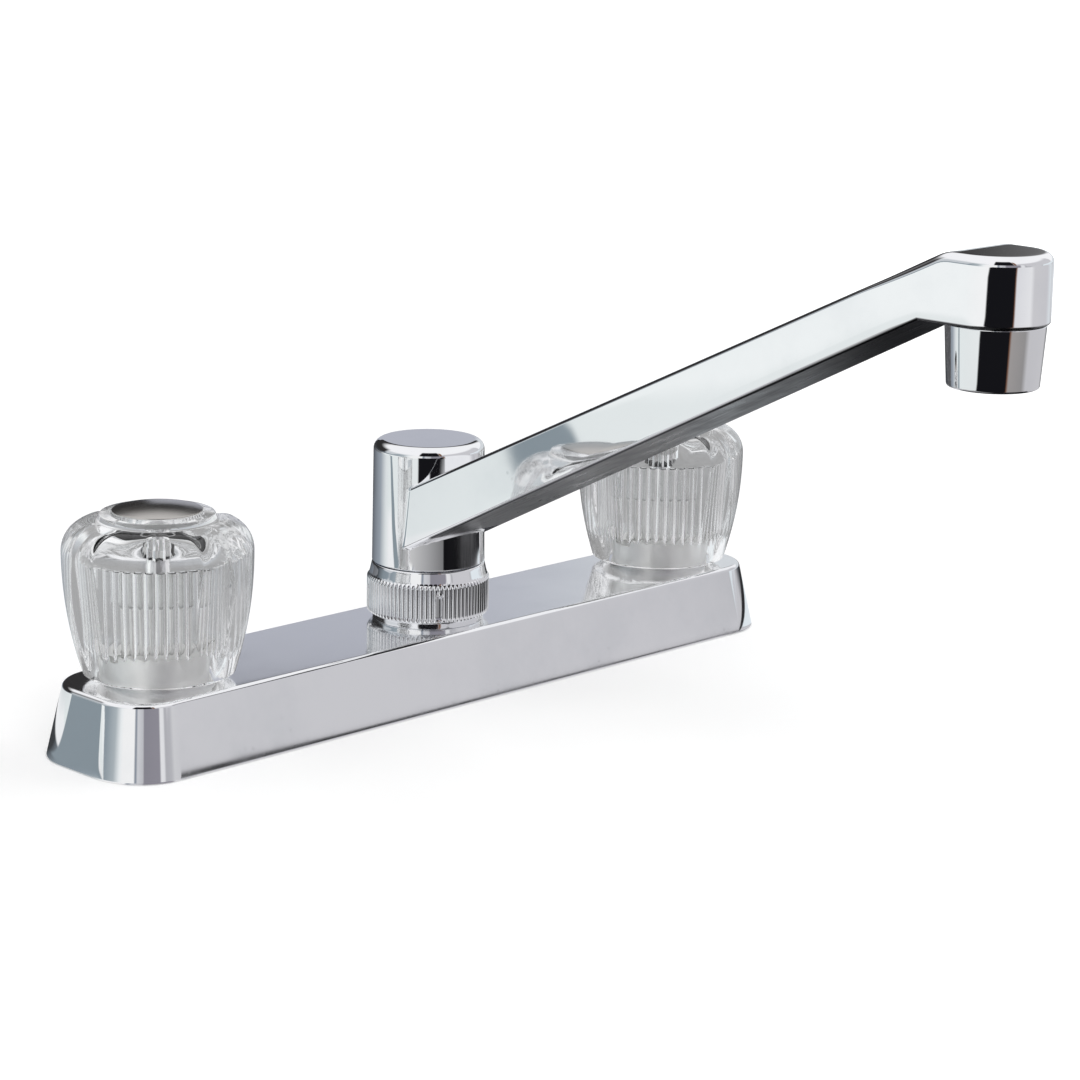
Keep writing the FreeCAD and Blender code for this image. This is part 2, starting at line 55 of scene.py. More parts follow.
def softMin(a, b, blend):
    # the smaller of a and b, rounded off where they differ by less than blend
    share = np.clip(0.5 + 0.5 * (b - a) / blend, 0.0, 1.0)
    return b + (a - b) * share - blend * share * (1.0 - share)


def roundedPath(corners, steps=8):
    # a line through (across, up, radius) corners; each corner is an arc that touches both sides
    flat = [np.array(c[:2], float) for c in corners]
    points = [flat[0]]
    for i in range(1, len(corners) - 1):
        radius = corners[i][2] if len(corners[i]) > 2 else 0.0
        if radius == 0.0:
            points.append(flat[i])
            continue
        back = flat[i - 1] - flat[i]
        ahead = flat[i + 1] - flat[i]
        back /= np.linalg.norm(back)
        ahead /= np.linalg.norm(ahead)
        half = math.acos(np.clip(back @ ahead, -1.0, 1.0)) / 2.0
        middle = flat[i] + (back + ahead) / np.linalg.norm(back + ahead) * radius / math.sin(half)
        first = flat[i] + back * radius / math.tan(half) - middle
        last = flat[i] + ahead * radius / math.tan(half) - middle
        turn = math.pi - 2.0 * half
        for t in np.linspace(0.0, 1.0, steps + 1):
            points.append(middle + (math.sin((1 - t) * turn) * first
                                    + math.sin(t * turn) * last) / math.sin(turn))
    points.append(flat[-1])
    return np.array(points)


def densePath(points, longest):
    # the same line with its long runs divided evenly
    rows = [points[:1]]
    for a, b in zip(points[:-1], points[1:]):
        count = max(1, int(math.ceil(np.linalg.norm(b - a) / longest)))
        share = np.linspace(0.0, 1.0, count + 1)[1:, None]
        rows.append(a + (b - a) * share)
    return np.vstack(rows)


def gridFaces(rows, columns, wrapRows=False, wrapColumns=True):
    # four corner faces between the points of a grid, row by row
    i = np.arange(rows if wrapRows else rows - 1)[:, None]
    j = np.arange(columns if wrapColumns else columns - 1)[None, :]
    nextI = (i + 1) % rows
    nextJ = (j + 1) % columns
    quads = np.stack([i * columns + j, i * columns + nextJ, nextI * columns + nextJ,
                      nextI * columns + j], axis=-1)
    return quads.reshape(-1, 4)


def revolve(profile, columns, centre=(0.0, 0.0), radiusAt=None):
    # each profile point (radius, height) goes once round the axis;
    # radiusAt(radius, height, angle) may change the radius on the way
    angle = np.arange(columns) * 2.0 * math.pi / columns
    radius = np.repeat(profile[:, :1], columns, axis=1)
    height = np.repeat(profile[:, 1:2], columns, axis=1)
    if radiusAt is not None:
        radius = radiusAt(radius, height, angle[None, :])
    grid = np.stack([centre[0] + radius * np.cos(angle), centre[1] + radius * np.sin(angle),
                     height], axis=-1)
    closed = np.allclose(profile[0], profile[-1])
    if closed:
        grid = grid[:-1]
    return grid.reshape(-1, 3), gridFaces(len(grid), columns, wrapRows=closed)


def outwards(points, faces):
    # turns every face round where the closed shell holds a negative volume
    corner = points[faces]
    first = np.einsum("ij,ij->i", corner[:, 0], np.cross(corner[:, 1], corner[:, 2]))
    second = np.einsum("ij,ij->i", corner[:, 0], np.cross(corner[:, 2], corner[:, -1]))
    return faces if (first + second).sum() > 0 else faces[:, ::-1]


def weldShells(work):
    bmesh.ops.remove_doubles(work, verts=work.verts, dist=2e-6)
    bmesh.ops.dissolve_degenerate(work, edges=work.edges, dist=1e-7)


def shapePiece(name, points, faces, weld, material, sharp):
    # one mesh object, in place and in metres; edges bent by more than sharp degrees stay sharp
    mesh = bpy.data.meshes.new(name)
    mesh.from_pydata((points * mm).tolist(), [], faces)
    work = bmesh.new()
    work.from_mesh(mesh)
    weld(work)
    work.to_mesh(mesh)
    work.free()
    mesh.shade_smooth()
    mesh.set_sharp_from_angle(angle=math.radians(sharp))
    mesh.materials.append(material)
    piece = bpy.data.objects.new(name, mesh)
    bpy.context.scene.collection.objects.link(piece)
    even = piece.modifiers.new("even shading", "WEIGHTED_NORMAL")
    even.mode = "FACE_AREA"
    even.keep_sharp = True
    print("made", name, len(mesh.polygons), "faces")
    return piece


def makePiece(name, shells, material, body, nodes, sharp=22.0):
    # a piece from closed shells of (points, faces)
    points = []
    faces = []
    start = 0
    for shellPoints, shellFaces in shells:
        faces += (outwards(shellPoints, shellFaces) + start).tolist()
        points.append(shellPoints)
        start += len(shellPoints)
    piece = shapePiece(name, np.vstack(points), faces, weldShells, material, sharp)
    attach(piece, body)
    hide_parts(*nodes)
    return piece


class Tree:
    # short hands for adding and joining nodes
    def __init__(self, tree):
        self.tree = tree

    def add(self, kind, **values):
        node = self.tree.nodes.new(kind)
        for key, value in values.items():
            setattr(node, key, value)
        return node

    def join(self, source, target):
        self.tree.links.new(source, target)

    def value(self, target, value):
        # a number or colour is set, a socket is linked
        if isinstance(value, bpy.types.NodeSocket):
            self.tree.links.new(value, target)
        else:
            target.default_value = value

    def math(self, operation, first, second=0.0):
        node = self.add("ShaderNodeMath", operation=operation)
        for socket, value in zip(node.inputs, (first, second)):
            self.value(socket, value)
        return node.outputs[0]

    def plus(self, first, second):
        return self.math("ADD", first, second)

    def minus(self, first, second):
        return self.math("SUBTRACT", first, second)

    def times(self, first, second):
        return self.math("MULTIPLY", first, second)

    def mix(self, share, first, second):
        node = self.add("ShaderNodeMix", data_type="RGBA")
        for socket, value in zip((node.inputs[0], node.inputs[6], node.inputs[7]),
                                 (share, first, second)):
            self.value(socket, value)
        return node.outputs[2]

    def span(self, value, low, high, toLow=0.0, toHigh=1.0, kind="SMOOTHSTEP"):
        node = self.add("ShaderNodeMapRange", interpolation_type=kind)
        for socket, number in zip(node.inputs, (value, low, high, toLow, toHigh)):
            self.value(socket, number)
        return node.outputs[0]

    def place(self):
        return self.add("ShaderNodeTexCoord").outputs["Object"]

    def split(self, vector):
        parts = self.add("ShaderNodeSeparateXYZ")
        self.join(vector, parts.inputs[0])
        return parts.outputs

    def noise(self, vector, scale, detail):
        node = self.add("ShaderNodeTexNoise")
        self.join(vector, node.inputs["Vector"])
        self.value(node.inputs["Scale"], scale)
        node.inputs["Detail"].default_value = detail
        return node


def groupWith(name, inputs, outputs):
    # an empty node group with named inputs (name, kind, value) and outputs (name, kind)
    group = bpy.data.node_groups.new(name, "ShaderNodeTree")
    for label, kind, value in inputs:
        socket = group.interface.new_socket(label, in_out="INPUT", socket_type="NodeSocket" + kind)
        socket.default_value = value
    for label, kind in outputs:
        group.interface.new_socket(label, in_out="OUTPUT", socket_type="NodeSocket" + kind)
    tree = Tree(group)
    return group, tree, tree.add("NodeGroupInput"), tree.add("NodeGroupOutput")


def makeHandlingMarks():
    # wiped film and water spots: a mask of cloudy patches with small soft dots in it
    group, tree, given, out = groupWith(
        "handling marks",
        [("Patch Scale", "Float", 30.0), ("Dot Scale", "Float", 260.0)],
        [("Film", "Float"), ("Dots", "Float")])
    place = tree.place()
    cloud = tree.noise(place, given.outputs["Patch Scale"], 5.0)
    cloud.inputs["Roughness"].default_value = 0.62
    tree.join(tree.span(cloud.outputs[0], 0.42, 0.75), out.inputs["Film"])
    cells = tree.add("ShaderNodeTexVoronoi")
    tree.join(place, cells.inputs["Vector"])
    tree.join(given.outputs["Dot Scale"], cells.inputs["Scale"])
    dots = tree.span(cells.outputs["Distance"], 0.10, 0.22, 1.0, 0.0)
    tree.join(tree.times(dots, tree.span(cloud.outputs[0], 0.5, 0.7)), out.inputs["Dots"])
    return group


def stretched(tree, given):
    # the object's coordinates times the group's Stretch
    stretch = tree.add("ShaderNodeVectorMath", operation="MULTIPLY")
    tree.join(tree.place(), stretch.inputs[0])
    tree.join(given.outputs["Stretch"], stretch.inputs[1])
    return stretch.outputs[0]


def makeCastRipple():
    # long soft waves left by the buffing of a casting, as a height
    group, tree, given, out = groupWith(
        "buffed ripple",
        [("Scale", "Float", 22.0), ("Stretch", "Vector", (1.0, 1.0, 1.0))],
        [("Height", "Float")])
    wave = tree.noise(stretched(tree, given), given.outputs["Scale"], 1.5)
    tree.join(wave.outputs[0], out.inputs["Height"])
    return group


def makeGrain():
    # fine grain: a colour share and a height from two noises, the finer one stretched
    group, tree, given, out = groupWith(
        "fine grain",
        [("Scale", "Float", 300.0), ("Stretch", "Vector", (1.0, 1.0, 1.0))],
        [("Share", "Float"), ("Height", "Float")])
    fine = tree.noise(stretched(tree, given), given.outputs["Scale"], 4.0)
    broad = tree.add("ShaderNodeTexNoise")
    tree.join(tree.place(), broad.inputs["Vector"])
    tree.join(tree.times(given.outputs["Scale"], 0.12), broad.inputs["Scale"])
    tree.join(tree.plus(tree.times(fine.outputs[0], 0.5), tree.times(broad.outputs[0], 0.5)),
              out.inputs["Share"])
    tree.join(fine.outputs[0], out.inputs["Height"])
    return group


handlingMarks = makeHandlingMarks()
castRipple = makeCastRipple()
fineGrain = makeGrain()


def newMaterial(name):
    material = bpy.data.materials.new(name)
    material.use_nodes = True
    tree = Tree(material.node_tree)
    return material, tree, material.node_tree.nodes["Principled BSDF"]


def useGroup(tree, group, **values):
    node = tree.add("ShaderNodeGroup")
    node.node_tree = group
    for label, value in values.items():
        node.inputs[label.replace("_", " ")].default_value = value
    return node


def addBump(tree, shader, height, distance):
    bump = tree.add("ShaderNodeBump")
    tree.join(height, bump.inputs["Height"])
    bump.inputs["Distance"].default_value = distance
    bump.inputs["Strength"].default_value = 1.0
    tree.join(bump.outputs[0], shader.inputs["Normal"])


chromeLook = {
    "bright": (0.90, 0.905, 0.915, 1.0),
    "filmed": (0.84, 0.85, 0.865, 1.0),
    "polish": 0.028,          # roughness of the clean plate
    "spots": 0.06,            # roughness that a water spot adds
    # painted shade under the arm: a near-black base colour
    "paintedUnderShade": (0.05, 0.051, 0.055, 1.0),
    "streakScale": 900.0, "streakHeight": 0.25,
    "dull": (0.24, 0.42),     # roughness of the unpolished streaks
    "softer": 0.08, "coat": 0.6, "coatRoughness": 0.03,
}


def makeChrome(name, ripple, rippleScale, stretch=(1.0, 1.0, 1.0), satin=None, polish=None,
               soft=None):
    # chrome plate: two close greys under a wiped film, and the ripple of what it covers;
    # satin(tree) masks where the polish is left off and painted shade makes the colour near-black,
    # soft(tree) where it lies over a haze
    look = chromeLook
    material, tree, shader = newMaterial(name)
    polish = polish or look["polish"]
    marks = useGroup(tree, handlingMarks, Patch_Scale=26.0, Dot_Scale=340.0)
    colour = tree.mix(marks.outputs["Film"], look["bright"], look["filmed"])
    rough = tree.span(marks.outputs["Film"], 0.0, 1.0, polish, polish + 0.02, "LINEAR")
    rough = tree.plus(rough, tree.times(marks.outputs["Dots"], look["spots"]))
    height = useGroup(tree, castRipple, Scale=rippleScale, Stretch=stretch).outputs["Height"]
    if satin:
        mask = satin(tree)
        streaks = useGroup(tree, fineGrain, Scale=look["streakScale"], Stretch=(1.0, 0.04, 0.04))
        dull = tree.span(streaks.outputs["Share"], 0.35, 0.65, *look["dull"], "LINEAR")
        rough = tree.plus(tree.times(mask, dull), tree.times(tree.minus(1.0, mask), rough))
        lines = tree.times(streaks.outputs["Height"], look["streakHeight"])
        height = tree.plus(height, tree.times(mask, lines))
        # painted shade: where the mask is 1 the chrome's colour turns near-black
        colour = tree.mix(mask, colour, look["paintedUnderShade"])
    if soft:
        mask = soft(tree)
        rough = tree.plus(rough, tree.times(mask, look["softer"]))
        tree.join(tree.times(mask, look["coat"]), shader.inputs["Coat Weight"])
        shader.inputs["Coat Roughness"].default_value = look["coatRoughness"]
    tree.join(colour, shader.inputs["Base Color"])
    tree.join(rough, shader.inputs["Roughness"])
    shader.inputs["Metallic"].default_value = 1.0
    addBump(tree, shader, height, ripple * mm)
    return material


acrylicLook = {
    "tint": (0.995, 0.996, 0.996, 1.0),
    "shade": (0.975, 0.98, 0.98, 1.0),
    "ior": 1.49,
    "wiped": 0.03,            # roughness where it was wiped
    "flow": 0.01,             # height of the flow lines
}


def makeAcrylic(name):
    # clear moulded acrylic: nearly colourless, with faint flow lines and a wiped surface
    material, tree, shader = newMaterial(name)
    flow = useGroup(tree, fineGrain, Scale=90.0, Stretch=(1.0, 1.0, 0.15))
    tree.join(tree.mix(flow.outputs["Share"], acrylicLook["tint"], acrylicLook["shade"]),
              shader.inputs["Base Color"])
    marks = useGroup(tree, handlingMarks, Patch_Scale=60.0, Dot_Scale=420.0)
    tree.join(tree.span(marks.outputs["Film"], 0.0, 1.0, 0.0, acrylicLook["wiped"], "LINEAR"),
              shader.inputs["Roughness"])
    shader.inputs["IOR"].default_value = acrylicLook["ior"]
    shader.inputs["Transmission Weight"].default_value = 1.0
    shader.inputs["Metallic"].default_value = 0.0
    addBump(tree, shader, flow.outputs["Height"], acrylicLook["flow"] * mm)
    return material


def grainyMaterial(name, light, dark, grainScale, stretch, bump):
    # two shades mixed by the grain, which also stands out by bump
    material, tree, shader = newMaterial(name)
    grain = useGroup(tree, fineGrain, Scale=grainScale, Stretch=stretch)
    tree.join(tree.mix(grain.outputs["Share"], (*dark, 1.0), (*light, 1.0)),
              shader.inputs["Base Color"])
    addBump(tree, shader, grain.outputs["Height"], bump * mm)
    return material, tree, shader, grain


def makeMetal(name, light, dark, rough, grainScale, stretch=(1.0, 1.0, 1.0), bump=0.03):
    # machined or cast metal, which its grain also roughens
    material, tree, shader, grain = grainyMaterial(name, light, dark, grainScale, stretch, bump)
    tree.join(tree.span(grain.outputs["Share"], 0.3, 0.7, rough * 0.75, rough * 1.3, "LINEAR"),
              shader.inputs["Roughness"])
    shader.inputs["Metallic"].default_value = 1.0
    return material


def makeMoulding(name, light, dark, rough, grainScale):
    # plastic or rubber moulding with mould grain and a film of handling
    material, tree, shader, _ = grainyMaterial(name, light, dark, grainScale, (1.0, 1.0, 1.0),
                                               0.02)
    marks = useGroup(tree, handlingMarks, Patch_Scale=40.0, Dot_Scale=300.0)
    tree.join(tree.span(marks.outputs["Film"], 0.0, 1.0, rough, rough + 0.12, "LINEAR"),
              shader.inputs["Roughness"])
    return material


castBrass = makeMetal("cast brass", (0.80, 0.62, 0.33), (0.58, 0.43, 0.21), 0.42, 420.0, bump=0.08)
turnedBrass = makeMetal("turned brass", (0.86, 0.68, 0.38), (0.72, 0.55, 0.29), 0.22, 500.0,
                        (1.0, 1.0, 6.0))
zincSteel = makeMetal("zinc plated steel", (0.68, 0.69, 0.70), (0.50, 0.51, 0.53), 0.30, 380.0)
satinNickel = makeMetal("satin nickel", (0.95, 0.95, 0.94), (0.90, 0.90, 0.89), 0.46, 300.0)
bareSteel = makeMetal("bright steel", (0.74, 0.74, 0.75), (0.60, 0.60, 0.62), 0.20, 500.0)
whitePlastic = makeMoulding("white acetal", (0.84, 0.84, 0.82), (0.76, 0.76, 0.74), 0.32, 260.0)
palePlastic = makeMoulding("lock nut plastic", (0.82, 0.82, 0.80), (0.72, 0.72, 0.71), 0.40, 200.0)
darkPlastic = makeMoulding("putty plate plastic", (0.14, 0.14, 0.15), (0.09, 0.09, 0.10), 0.50,
                           240.0)
sealRubber = makeMoulding("seal rubber", (0.045, 0.045, 0.048), (0.022, 0.022, 0.024), 0.55, 380.0)

nodeMaterials = {
    "putty_plate": darkPlastic, "waterway_body": castBrass, "lock_washers": zincSteel,
    "lock_nuts": palePlastic, "seat_seals": sealRubber, "seat_springs": bareSteel,
    "bonnet_nuts": satinNickel, "hot_inlet_shank": turnedBrass, "cold_inlet_shank": turnedBrass,
    "hot_valve_sleeve": whitePlastic, "cold_valve_sleeve": whitePlastic,
    "hot_valve_stem": satinNickel, "cold_valve_stem": satinNickel,
    "hot_stem_o_ring": sealRubber, "cold_stem_o_ring": sealRubber,
    "hot_handle_screw": bareSteel, "cold_handle_screw": bareSteel,
    "spout_o_rings": sealRubber, "spout_slip_ring": whitePlastic,
    "aerator_insert": whitePlastic, "aerator_washer": sealRubber,
}
for node, material in nodeMaterials.items():
    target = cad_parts[node]
    if len(target.material_slots) == 0:
        target.data.materials.append(material)
    for place in target.material_slots:
        place.material = material
print("materials ready")


cover = {
    "length": 261.0,
    "width": 50.0,
    "lift": 0.3,         # the rim stays this far off the deck
    "corner": 16.5,
    "cornerShrink": 0.5,  # of the lean, taken off the corner's radius
    "lean": 4.1,         # each side leans in by this up to the top
    "edge": 1.5,         # round along the top edge
    "rim": 0.35,         # round along the bottom edge
    "wall": 2.2,
    "holes": ((-handleReach, 11.4), (0.0, 14.9), (handleReach, 11.4)),
    "flatRim": 4.0,      # how far the profile runs in over the top
    "rowStep": 4.0,      # longest step of the profile
    "holeSteps": 96, "cornerSteps": 28,
    "sharp": 22.0,       # edges bent by more degrees than this stay sharp
}


def coverDeck(tree):
    # 1 on the cover's flat top
    z = tree.split(tree.place())[2]
    return tree.span(z, (coverTop - 0.2) * mm, (coverTop - 0.02) * mm)


def roundedRectangle(halfX, halfY, corner, steps):
    # four quarter circles about centres that lie one corner radius inside the sides
    angle = np.linspace(0.0, math.pi / 2, steps + 1)
    parts = []
    for quarter, (sideX, sideY) in enumerate(((1, 1), (-1, 1), (-1, -1), (1, -1))):
        turn = angle + quarter * math.pi / 2
        parts.append(np.stack([sideX * (halfX - corner) + corner * np.cos(turn),
                               sideY * (halfY - corner) + corner * np.sin(turn)], axis=-1))
    return np.vstack(parts)


def plateWithHoles(loop, holes, height):
    # flat triangles between an outer loop and round holes, and the loops of the holes
    angle = np.arange(cover["holeSteps"]) * 2.0 * math.pi / cover["holeSteps"]
    rings = [np.stack([x + r * np.cos(angle), r * np.sin(angle)], axis=-1) for x, r in holes]
    loops = [loop] + rings
    edges = []
    start = 0
    for ring in loops:
        count = len(ring)
        edges += [(start + k, start + (k + 1) % count) for k in range(count)]
        start += count
    result = delaunay_2d_cdt([Vector(p) for p in np.vstack(loops).tolist()], edges, [], 0, 1e-5)
    places = np.array([list(p) for p in result[0]])
    faces = np.array([list(f) for f in result[2]])
    middle = places[faces].mean(axis=1)
    keep = np.ones(len(faces), bool)
    for x, r in holes:
        keep &= np.hypot(middle[:, 0] - x, middle[:, 1]) > r * 0.999
    return np.column_stack([places, np.full(len(places), height)]), faces[keep], rings


def makeCover():
    # rounded rectangles stacked up a profile of (inset, height); the top is flat, with holes
    lean = cover["lean"] / coverTop
    wall = cover["wall"]
    outer = roundedPath([(cover["rim"] * 1.5, cover["lift"]), (0.0, cover["lift"], cover["rim"]),
                         (lean * coverTop, coverTop, cover["edge"]),
                         (lean * coverTop + cover["flatRim"], coverTop)], 8)
    outer = densePath(outer, cover["rowStep"])
    inside = coverTop - wall
    inner = np.array([(lean * inside + wall, inside), (lean * cover["lift"] + wall, cover["lift"])])
    rows = []
    for inset, height in np.vstack([inner, outer]):
        straight = lean * height
        corner = cover["corner"] - straight * cover["cornerShrink"] - (inset - straight)
        rows.append(np.column_stack([
            roundedRectangle(cover["length"] / 2 - inset, cover["width"] / 2 - inset,
                             max(corner, 0.2), cover["cornerSteps"]),
            np.full(4 * (cover["cornerSteps"] + 1), height)]))
    grid = np.array(rows)
    points = [grid.reshape(-1, 3)]
    faces = [gridFaces(len(grid), grid.shape[1])]
    start = len(points[0])
    for level, loop in ((coverTop, grid[-1][:, :2]), (inside, grid[0][:, :2])):
        flat, triangles, rings = plateWithHoles(loop, cover["holes"], level)
        if level == coverTop:
            triangles = triangles[:, ::-1]
        points.append(flat)
        faces.append(triangles + start)
        start += len(flat)
    for ring in rings:
        wallGrid = np.array([np.column_stack([ring, np.full(len(ring), z)])
                             for z in (inside, coverTop)])
        points.append(wallGrid.reshape(-1, 3))
        faces.append(gridFaces(2, len(ring)) + start)
        start += len(points[-1])
    return np.vstack(points), [face for part in faces for face in part.tolist()]


def weldCover(work):
    bmesh.ops.remove_doubles(work, verts=work.verts, dist=3e-6)
    bmesh.ops.recalc_face_normals(work, faces=work.faces)


def joinCover():
    # the cover's parts meet at their edges, and the weld makes them one closed shell
    points, faces = makeCover()
    piece = shapePiece("deck_cover", points, faces, weldCover, coverChrome, cover["sharp"])
    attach(piece, "deck_unit")
    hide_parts("base_cover")


coverChrome = makeChrome("cover chrome", 0.02, 14.0, polish=0.035, soft=coverDeck)
joinCover()


spout = {
    "reach": 203.2,
    "hubRadius": 16.8, "hubTopRadius": 16.4, "hubBottom": 38.8, "hubTop": 75.5, "hubRound": 3.0,
    "halfHub": 15.3,      # half width of the arm at the hub's axis
    "lowHub": 41.7, "highHub": 60.3,
    "lowHead": 143.5, "highHead": 157.3,
    "headRadius": 13.4, "headBottom": 136.4, "headTop": 154.1, "headRound": 2.5,
    "armEdge": 1.3,
    "rimEdge": 0.8,       # round along the head's lower rim
    "topBlend": 1.0, "topSwell": 0.3,   # the top line swells a little into the level head
    "draft": 0.04,        # how much the arm's sides lean in, per millimetre of height
    "rootFillet": 0.8,    # radius between the arm and the hub
    "rootReach": (0.2, 1.2),
    "rootSink": (0.012, 1.2),   # how deep the fillet's first two rows lie in the hub
    "swellFrom": (176.0, 194.0), "topEdgeFrom": (168.0, 193.0),   # distances from the axis
    "rimEdgeFrom": (180.0, 189.0), "draftEnds": (110.0, 190.0),
    "keelSoft": (0.3, 0.9), "keelFrom": (-17.5, -15.5),   # where the underside is rough and carries painted shade
    "tail": 9.3, "tailBottom": 18.4, "bore": 6.6,
    "neck": 12.7, "neckBottom": 30.3, "groove": 11.4, "grooveLow": 32.2, "grooveHigh": 36.2,
}


def underArmSatinAndShade(tree):
    # 1 on the arm's underside, which is rough and carries painted shade: less than a millimetre
    # above its plane, and past the hub
    _, y, z = tree.split(tree.place())
    slope = (spout["lowHead"] - spout["lowHub"]) / spout["reach"]
    keel = tree.minus(spout["lowHub"] * mm, tree.times(y, slope))
    keel = tree.math("MINIMUM", keel, spout["headBottom"] * mm)
    inside, outside = (height * mm for height in spout["keelSoft"])
    ahead, behind = (place * mm for place in spout["keelFrom"])
    low = tree.span(tree.minus(z, keel), inside, outside, 1.0, 0.0)
    return tree.times(low, tree.span(y, ahead, behind, 1.0, 0.0))


def armHalf(distance):
    return spout["halfHub"] + (spout["headRadius"] - spout["halfHub"]) * distance / spout["reach"]


def armLow(distance):
    slope = (spout["lowHead"] - spout["lowHub"]) / spout["reach"]
    return np.minimum(spout["lowHub"] + slope * distance, spout["headBottom"])


def armHigh(distance):
    slope = (spout["highHead"] - spout["highHub"]) / spout["reach"]
    line = spout["highHub"] + slope * distance
    line = line + spout["topSwell"] * smoothStep(*spout["swellFrom"], distance)
    return softMin(line, spout["headTop"], spout["topBlend"])


def topEdge(distance):
    wider = spout["headRound"] - spout["armEdge"]
    return spout["armEdge"] + wider * smoothStep(*spout["topEdgeFrom"], distance)


def lowEdge(distance):
    wider = spout["rimEdge"] - spout["armEdge"]
    return spout["armEdge"] + wider * smoothStep(*spout["rimEdgeFrom"], distance)


def hubRadiusAt(height):
    share = (height - spout["hubBottom"]) / (spout["hubTop"] - spout["hubBottom"])
    return spout["hubRadius"] + (spout["hubTopRadius"] - spout["hubRadius"]) * share


def sectionPoint(spineY, outX, outY, column):
    # one point of the arm's skin: column is (zone, share) down from the ridge to the keel.
    # The inset a runs from the outline in to the spine, and each edge is a quarter circle:
    # a = r (1 - sin q), drop = r (1 - cos q) at the top, and the other way round below
    zone, share = column
    width = np.hypot(outX, outY - spineY)
    high = topEdge(-outY)
    low = lowEdge(-outY)
    quarter = share * math.pi / 2
    if zone == "ridge":
        inset = width + (high - width) * share
    elif zone == "topEdge":
        inset = high * (1.0 - math.sin(quarter))
    elif zone == "side":
        inset = np.zeros_like(width)
    elif zone == "lowEdge":
        inset = low * (1.0 - math.cos(quarter))
    else:
        inset = low + (width - low) * share
    keep = 1.0 - inset / width
    x = outX * keep
    y = spineY + (outY - spineY) * keep
    top = armHigh(-y)
    bottom = armLow(-y)
    if zone == "ridge":
        z = top
    elif zone == "topEdge":
        z = top - high * (1.0 - math.cos(quarter))
    elif zone == "side":
        z = (top - high) + (bottom + low - top + high) * share
    elif zone == "lowEdge":
        z = bottom + low * (1.0 - math.sin(quarter))
    else:
        z = bottom
    # the sides lean in from keel to ridge, less and less towards the head
    draft = spout["draft"] * (1.0 - smoothStep(*spout["draftEnds"], -outY))
    x = x * (1.0 + draft * ((top + bottom) / 2.0 - z) / width)
    return np.stack([x, y, z], axis=-1)


def zoneColumns():
    # the section's points: each zone starts at the last point of the one before it
    columns = [("ridge", 0.0)]
    for zone, steps in (("ridge", 6), ("topEdge", 8), ("side", 6), ("lowEdge", 6), ("keel", 6)):
        columns += [(zone, s) for s in np.linspace(0.0, 1.0, steps + 1)[1:]]
    return columns


armColumns = zoneColumns()


def armSide(side, distances):
    # the skin on one side; distances has one row per station and one column per section point
    parts = []
    for index, column in enumerate(armColumns):
        d = distances[:, index]
        parts.append(sectionPoint(-d, side * armHalf(d), -d, column))
    return np.stack(parts, axis=1)


def rootDistances(side):
    # how far from the axis each line along the arm comes out of the hub: x^2 + d^2 = R(z)^2
    d = np.full((1, len(armColumns)), 15.0)
    for _ in range(40):
        place = armSide(side, d)[0]
        inner = np.maximum(hubRadiusAt(place[:, 2]) ** 2 - place[:, 0] ** 2, 4.0)
        d = 0.5 * d + 0.5 * np.sqrt(inner)[None, :]
    return d[0]


def hubPoint(turn, height, sink):
    radius = hubRadiusAt(height) - sink
    return np.stack([radius * np.cos(turn), radius * np.sin(turn), height], axis=-1)


def makeArm():
    # the plan outline runs up one side, round the head and back down the other side; at each
    # of its stations a section drops from the spine over the edges to the keel
    reach = spout["reach"]
    drop = spout["headBottom"] - spout["lowHub"]
    crease = drop * reach / (spout["lowHead"] - spout["lowHub"])
    stations = np.concatenate([np.linspace(30.0, 160.0, 34), np.linspace(160.0, crease, 22)[1:],
                               np.linspace(crease, reach, 14)[1:]])
    sides = []
    roots = []
    for side in (-1.0, 1.0):
        root = rootDistances(side)
        start = armSide(side, root[None, :])[0]
        past = armSide(side, root[None, :] + 0.5)[0]
        along = past - start
        along /= np.linalg.norm(along, axis=1, keepdims=True)
        roots.append((start, along))
        near = root[None, :] + 5.0
        approach = near + (stations[0] - near) * np.linspace(0.0, 1.0, 8)[:, None]
        rest = np.repeat(stations[1:, None], len(root), axis=1)
        sides.append(armSide(side, np.vstack([approach, rest])))
    angles = np.linspace(math.pi, 2.0 * math.pi, 73)[1:-1]
    outX = spout["headRadius"] * np.cos(angles)
    outY = -reach + spout["headRadius"] * np.sin(angles)
    end = np.stack([sectionPoint(np.full_like(outX, -reach), outX, outY, column)
                    for column in armColumns], axis=1)
    left, right = sides
    return np.concatenate([left, end, right[::-1]], axis=0), roots


